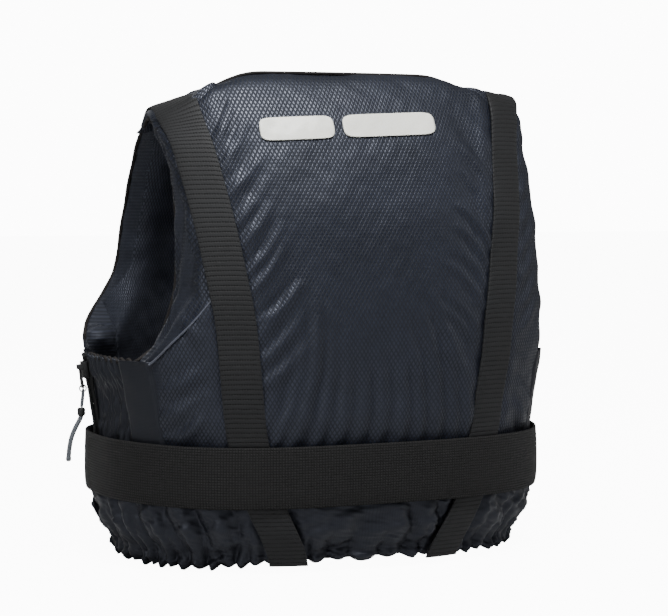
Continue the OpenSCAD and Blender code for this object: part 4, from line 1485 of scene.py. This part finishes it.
    def build(self) -> None:
        """Makes the coils, tapes and cords."""
        for way, part in ((-1, "rear"), (1, "front")):
            self.coil(way, f"zip_coil_{part}")
            self.tape(way, f"zip_tape_{part}")
        self.cords()


# ---------------------------------------------------------------------------------------- hardware


@dataclass
class Hardware:
    """Moulded and metal pieces of the frame, with softened edges where they are moulded."""

    bevel: float = 0.7

    def soften(self, node: str, body: str, finish: Finish, bevel: float) -> None:
        """Makes a moulded copy of a frame node with its edges rounded.

        Args:
            node: The frame node.
            body: Its body.
            finish: Its finish.
            bevel: Radius of the edges in millimetres.
        """
        mesh = FRAME_NODES[node].data.copy()
        mesh.name = f"{node}_moulding"
        piece = bpy.data.objects.new(f"{node}_moulding", mesh)
        bpy.context.scene.collection.objects.link(piece)
        weld = piece.modifiers.new("weld", "WELD")
        weld.merge_threshold = 0.002 * MM
        flat = piece.modifiers.new("flat", "DECIMATE")
        flat.decimate_type = "DISSOLVE"
        flat.angle_limit = math.radians(4)
        edge = piece.modifiers.new("edge", "BEVEL")
        edge.width = bevel * MM
        edge.segments = 3
        edge.limit_method = "ANGLE"
        edge.angle_limit = math.radians(40)
        edge.use_clamp_overlap = True
        apply_modifiers(piece)
        shade_by_angle(piece.data, math.radians(35))
        dress(piece, finish, body, (node,))

    def build(self) -> None:
        """Dresses each moulded piece, and the nodes that keep their own shape."""
        for node, body, bevel in (
            ("buckle_housing", "vest", 1.0),
            ("buckle_insert", "vest", 0.8),
            ("buckle_prong_upper", "prong_upper", 0.5),
            ("buckle_prong_lower", "prong_lower", 0.5),
            ("strap_adjuster_left", "adjuster_left", 0.6),
            ("strap_adjuster_right", "adjuster_right", 0.6),
            ("belt_keeper", "keeper", 0.5),
            ("zip_slider", "zip_slider", 0.3),
            ("zip_pull_tab", "zip_pull", 0.3),
        ):
            self.soften(node, body, ACETAL, bevel)
        for node, finish in (("zip_pull_ring", STEEL), ("zip_stops", COIL), ("side_elastics", ELASTIC)):
            item = FRAME_NODES[node]
            item.data.materials.clear()
            item.data.materials.append(finish.material())


# ------------------------------------------------------------------------------------------ studio


@dataclass
class Studio:
    """The camera, the pale floor and the soft lights."""

    azimuth: float = 159.0
    distance: float = 1.8
    eye: float = 0.303
    lens: float = 114.2
    aside: float = 0.0187
    pitch: float = 3.19

    def camera(self) -> None:
        """Places the camera behind and to the left of the vest, level with its chest."""
        a = math.radians(self.azimuth)
        out = Vector((math.sin(a), -math.cos(a), 0))
        right = Vector((out.y * -1, out.x, 0))
        place = out * self.distance + Vector((0, 0, self.eye))
        drop = self.distance * math.tan(math.radians(self.pitch))
        aim = right * self.aside + Vector((0, 0, self.eye - drop))
        data = bpy.data.cameras.new("camera")
        data.lens = self.lens
        data.sensor_width = 36
        camera = bpy.data.objects.new("camera", data)
        camera.location = place
        camera.rotation_euler = (aim - place).to_track_quat("-Z", "Y").to_euler()
        bpy.context.scene.collection.objects.link(camera)
        bpy.context.scene.camera = camera

    def lamp(
        self, name: str, place: tuple[float, float, float], size: tuple[float, float], power: float
    ) -> None:
        """Adds one soft box that faces the vest's chest.

        Args:
            name: The lamp's name.
            place: Where it stands, in metres.
            size: Width and height in metres.
            power: Power in watts.
        """
        data = bpy.data.lights.new(name, "AREA")
        data.shape = "RECTANGLE"
        data.size, data.size_y = size
        data.energy = power
        lamp = bpy.data.objects.new(name, data)
        lamp.location = place
        lamp.rotation_euler = (Vector((0, 0, 0.25)) - Vector(place)).to_track_quat("-Z", "Y").to_euler()
        bpy.context.scene.collection.objects.link(lamp)

    def floor(self) -> None:
        """Lays a wide pale floor under the vest."""
        size = 12.0
        mesh = bpy.data.meshes.new("floor")
        corners = [(-size, -size, 0), (size, -size, 0), (size, size, 0), (-size, size, 0)]
        mesh.from_pydata(corners, [], [(0, 1, 2, 3)])
        floor = bpy.data.objects.new("floor", mesh)
        bpy.context.scene.collection.objects.link(floor)
        material = bpy.data.materials.new("pale_floor")
        material.use_nodes = True
        shader = material.node_tree.nodes["Principled BSDF"]
        shader.inputs["Base Color"].default_value = hex_linear("b8b8b8")
        shader.inputs["Roughness"].default_value = 0.9
        shader.inputs["Emission Color"].default_value = hex_linear("ffffff")
        light = add_node(material.node_tree, "ShaderNodeLightPath")
        # Like the surroundings, the floor looks white to the camera but lights the vest as a grey one.
        glow = add_node(
            material.node_tree,
            "ShaderNodeMath",
            {0: light.outputs["Is Camera Ray"], 1: 11.0},
            operation="MULTIPLY",
        )
        material.node_tree.links.new(glow.outputs[0], shader.inputs["Emission Strength"])
        mesh.materials.append(material)

    def build(self) -> None:
        """Sets up the lights, the surroundings and the floor."""
        self.lamp("top", (0.22, 1.06, 2.2), (1.3, 0.5), 100)
        self.lamp("key", (2.1, 1.5, 1.0), (0.4, 1.3), 20)
        self.lamp("rim", (-2.2, 0.7, 0.9), (0.4, 1.2), 7)
        self.lamp("fill", (0.6, -2.2, 1.2), (1.6, 1.2), 10)
        world = bpy.data.worlds.new("studio")
        world.use_nodes = True
        background = world.node_tree.nodes["Background"]
        background.inputs["Color"].default_value = hex_linear("ffffff")
        # The surroundings light the vest softly, but the camera sees them white.
        light = add_node(world.node_tree, "ShaderNodeLightPath")
        seen = add_node(
            world.node_tree,
            "ShaderNodeMapRange",
            {"Value": light.outputs["Is Camera Ray"], "To Min": 0.14, "To Max": 12.0},
        )
        world.node_tree.links.new(seen.outputs[0], background.inputs["Strength"])
        bpy.context.scene.world = world
        self.floor()


FRAME_NODES: dict[str, bpy.types.Object] = {}


def main() -> None:
    """Builds every piece around the frame, in order."""
    logging.basicConfig(level=logging.INFO, format="%(name)s %(message)s")
    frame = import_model()
    FRAME_NODES.update(frame["nodes"])
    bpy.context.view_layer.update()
    studio = Studio()
    studio.camera()
    SideZip().build()
    back = Panel("back_panel", True, DOBBY, back_creases(), 3)
    layers = ("outer_fabric", "foam_outer", "foam_inner", "lining", "gussets")
    cover = back.build(tuple(f"back_{layer}" for layer in layers))
    # The front panel wears the lining cloth, whose lighter colour is painted light.
    front = Panel("front_panel", False, PAINTED_LIGHT_LINING, front_creases(), 5, columns=120)
    front.build(tuple(f"front_{layer}" for layer in layers))
    trim = Trim()
    for side, end in ((1, "left"), (-1, "right")):
        ShoulderPad(side, f"shoulder_pad_{end}").build()
        ShoulderStrap(side).build()
        FrontStrap(side).build()
        trim.armhole(side)
    trim.piping()
    trim.neck()
    trim.bars(cover)
    WaistBelt().build()
    Skirt().build()
    SideCloth("side_gathers_left_rear", "side_panel_left_rear", 90, -20.5).build()
    SideCloth("side_gathers_left_front", "side_panel_left_front", -43.5, -62, seed=83).build()
    SideCloth("side_gathers_right", "side_panel_right", 90, -62, True, 85).build()
    Hardware().build()
    studio.build()


if __name__ == "__main__":
    main()
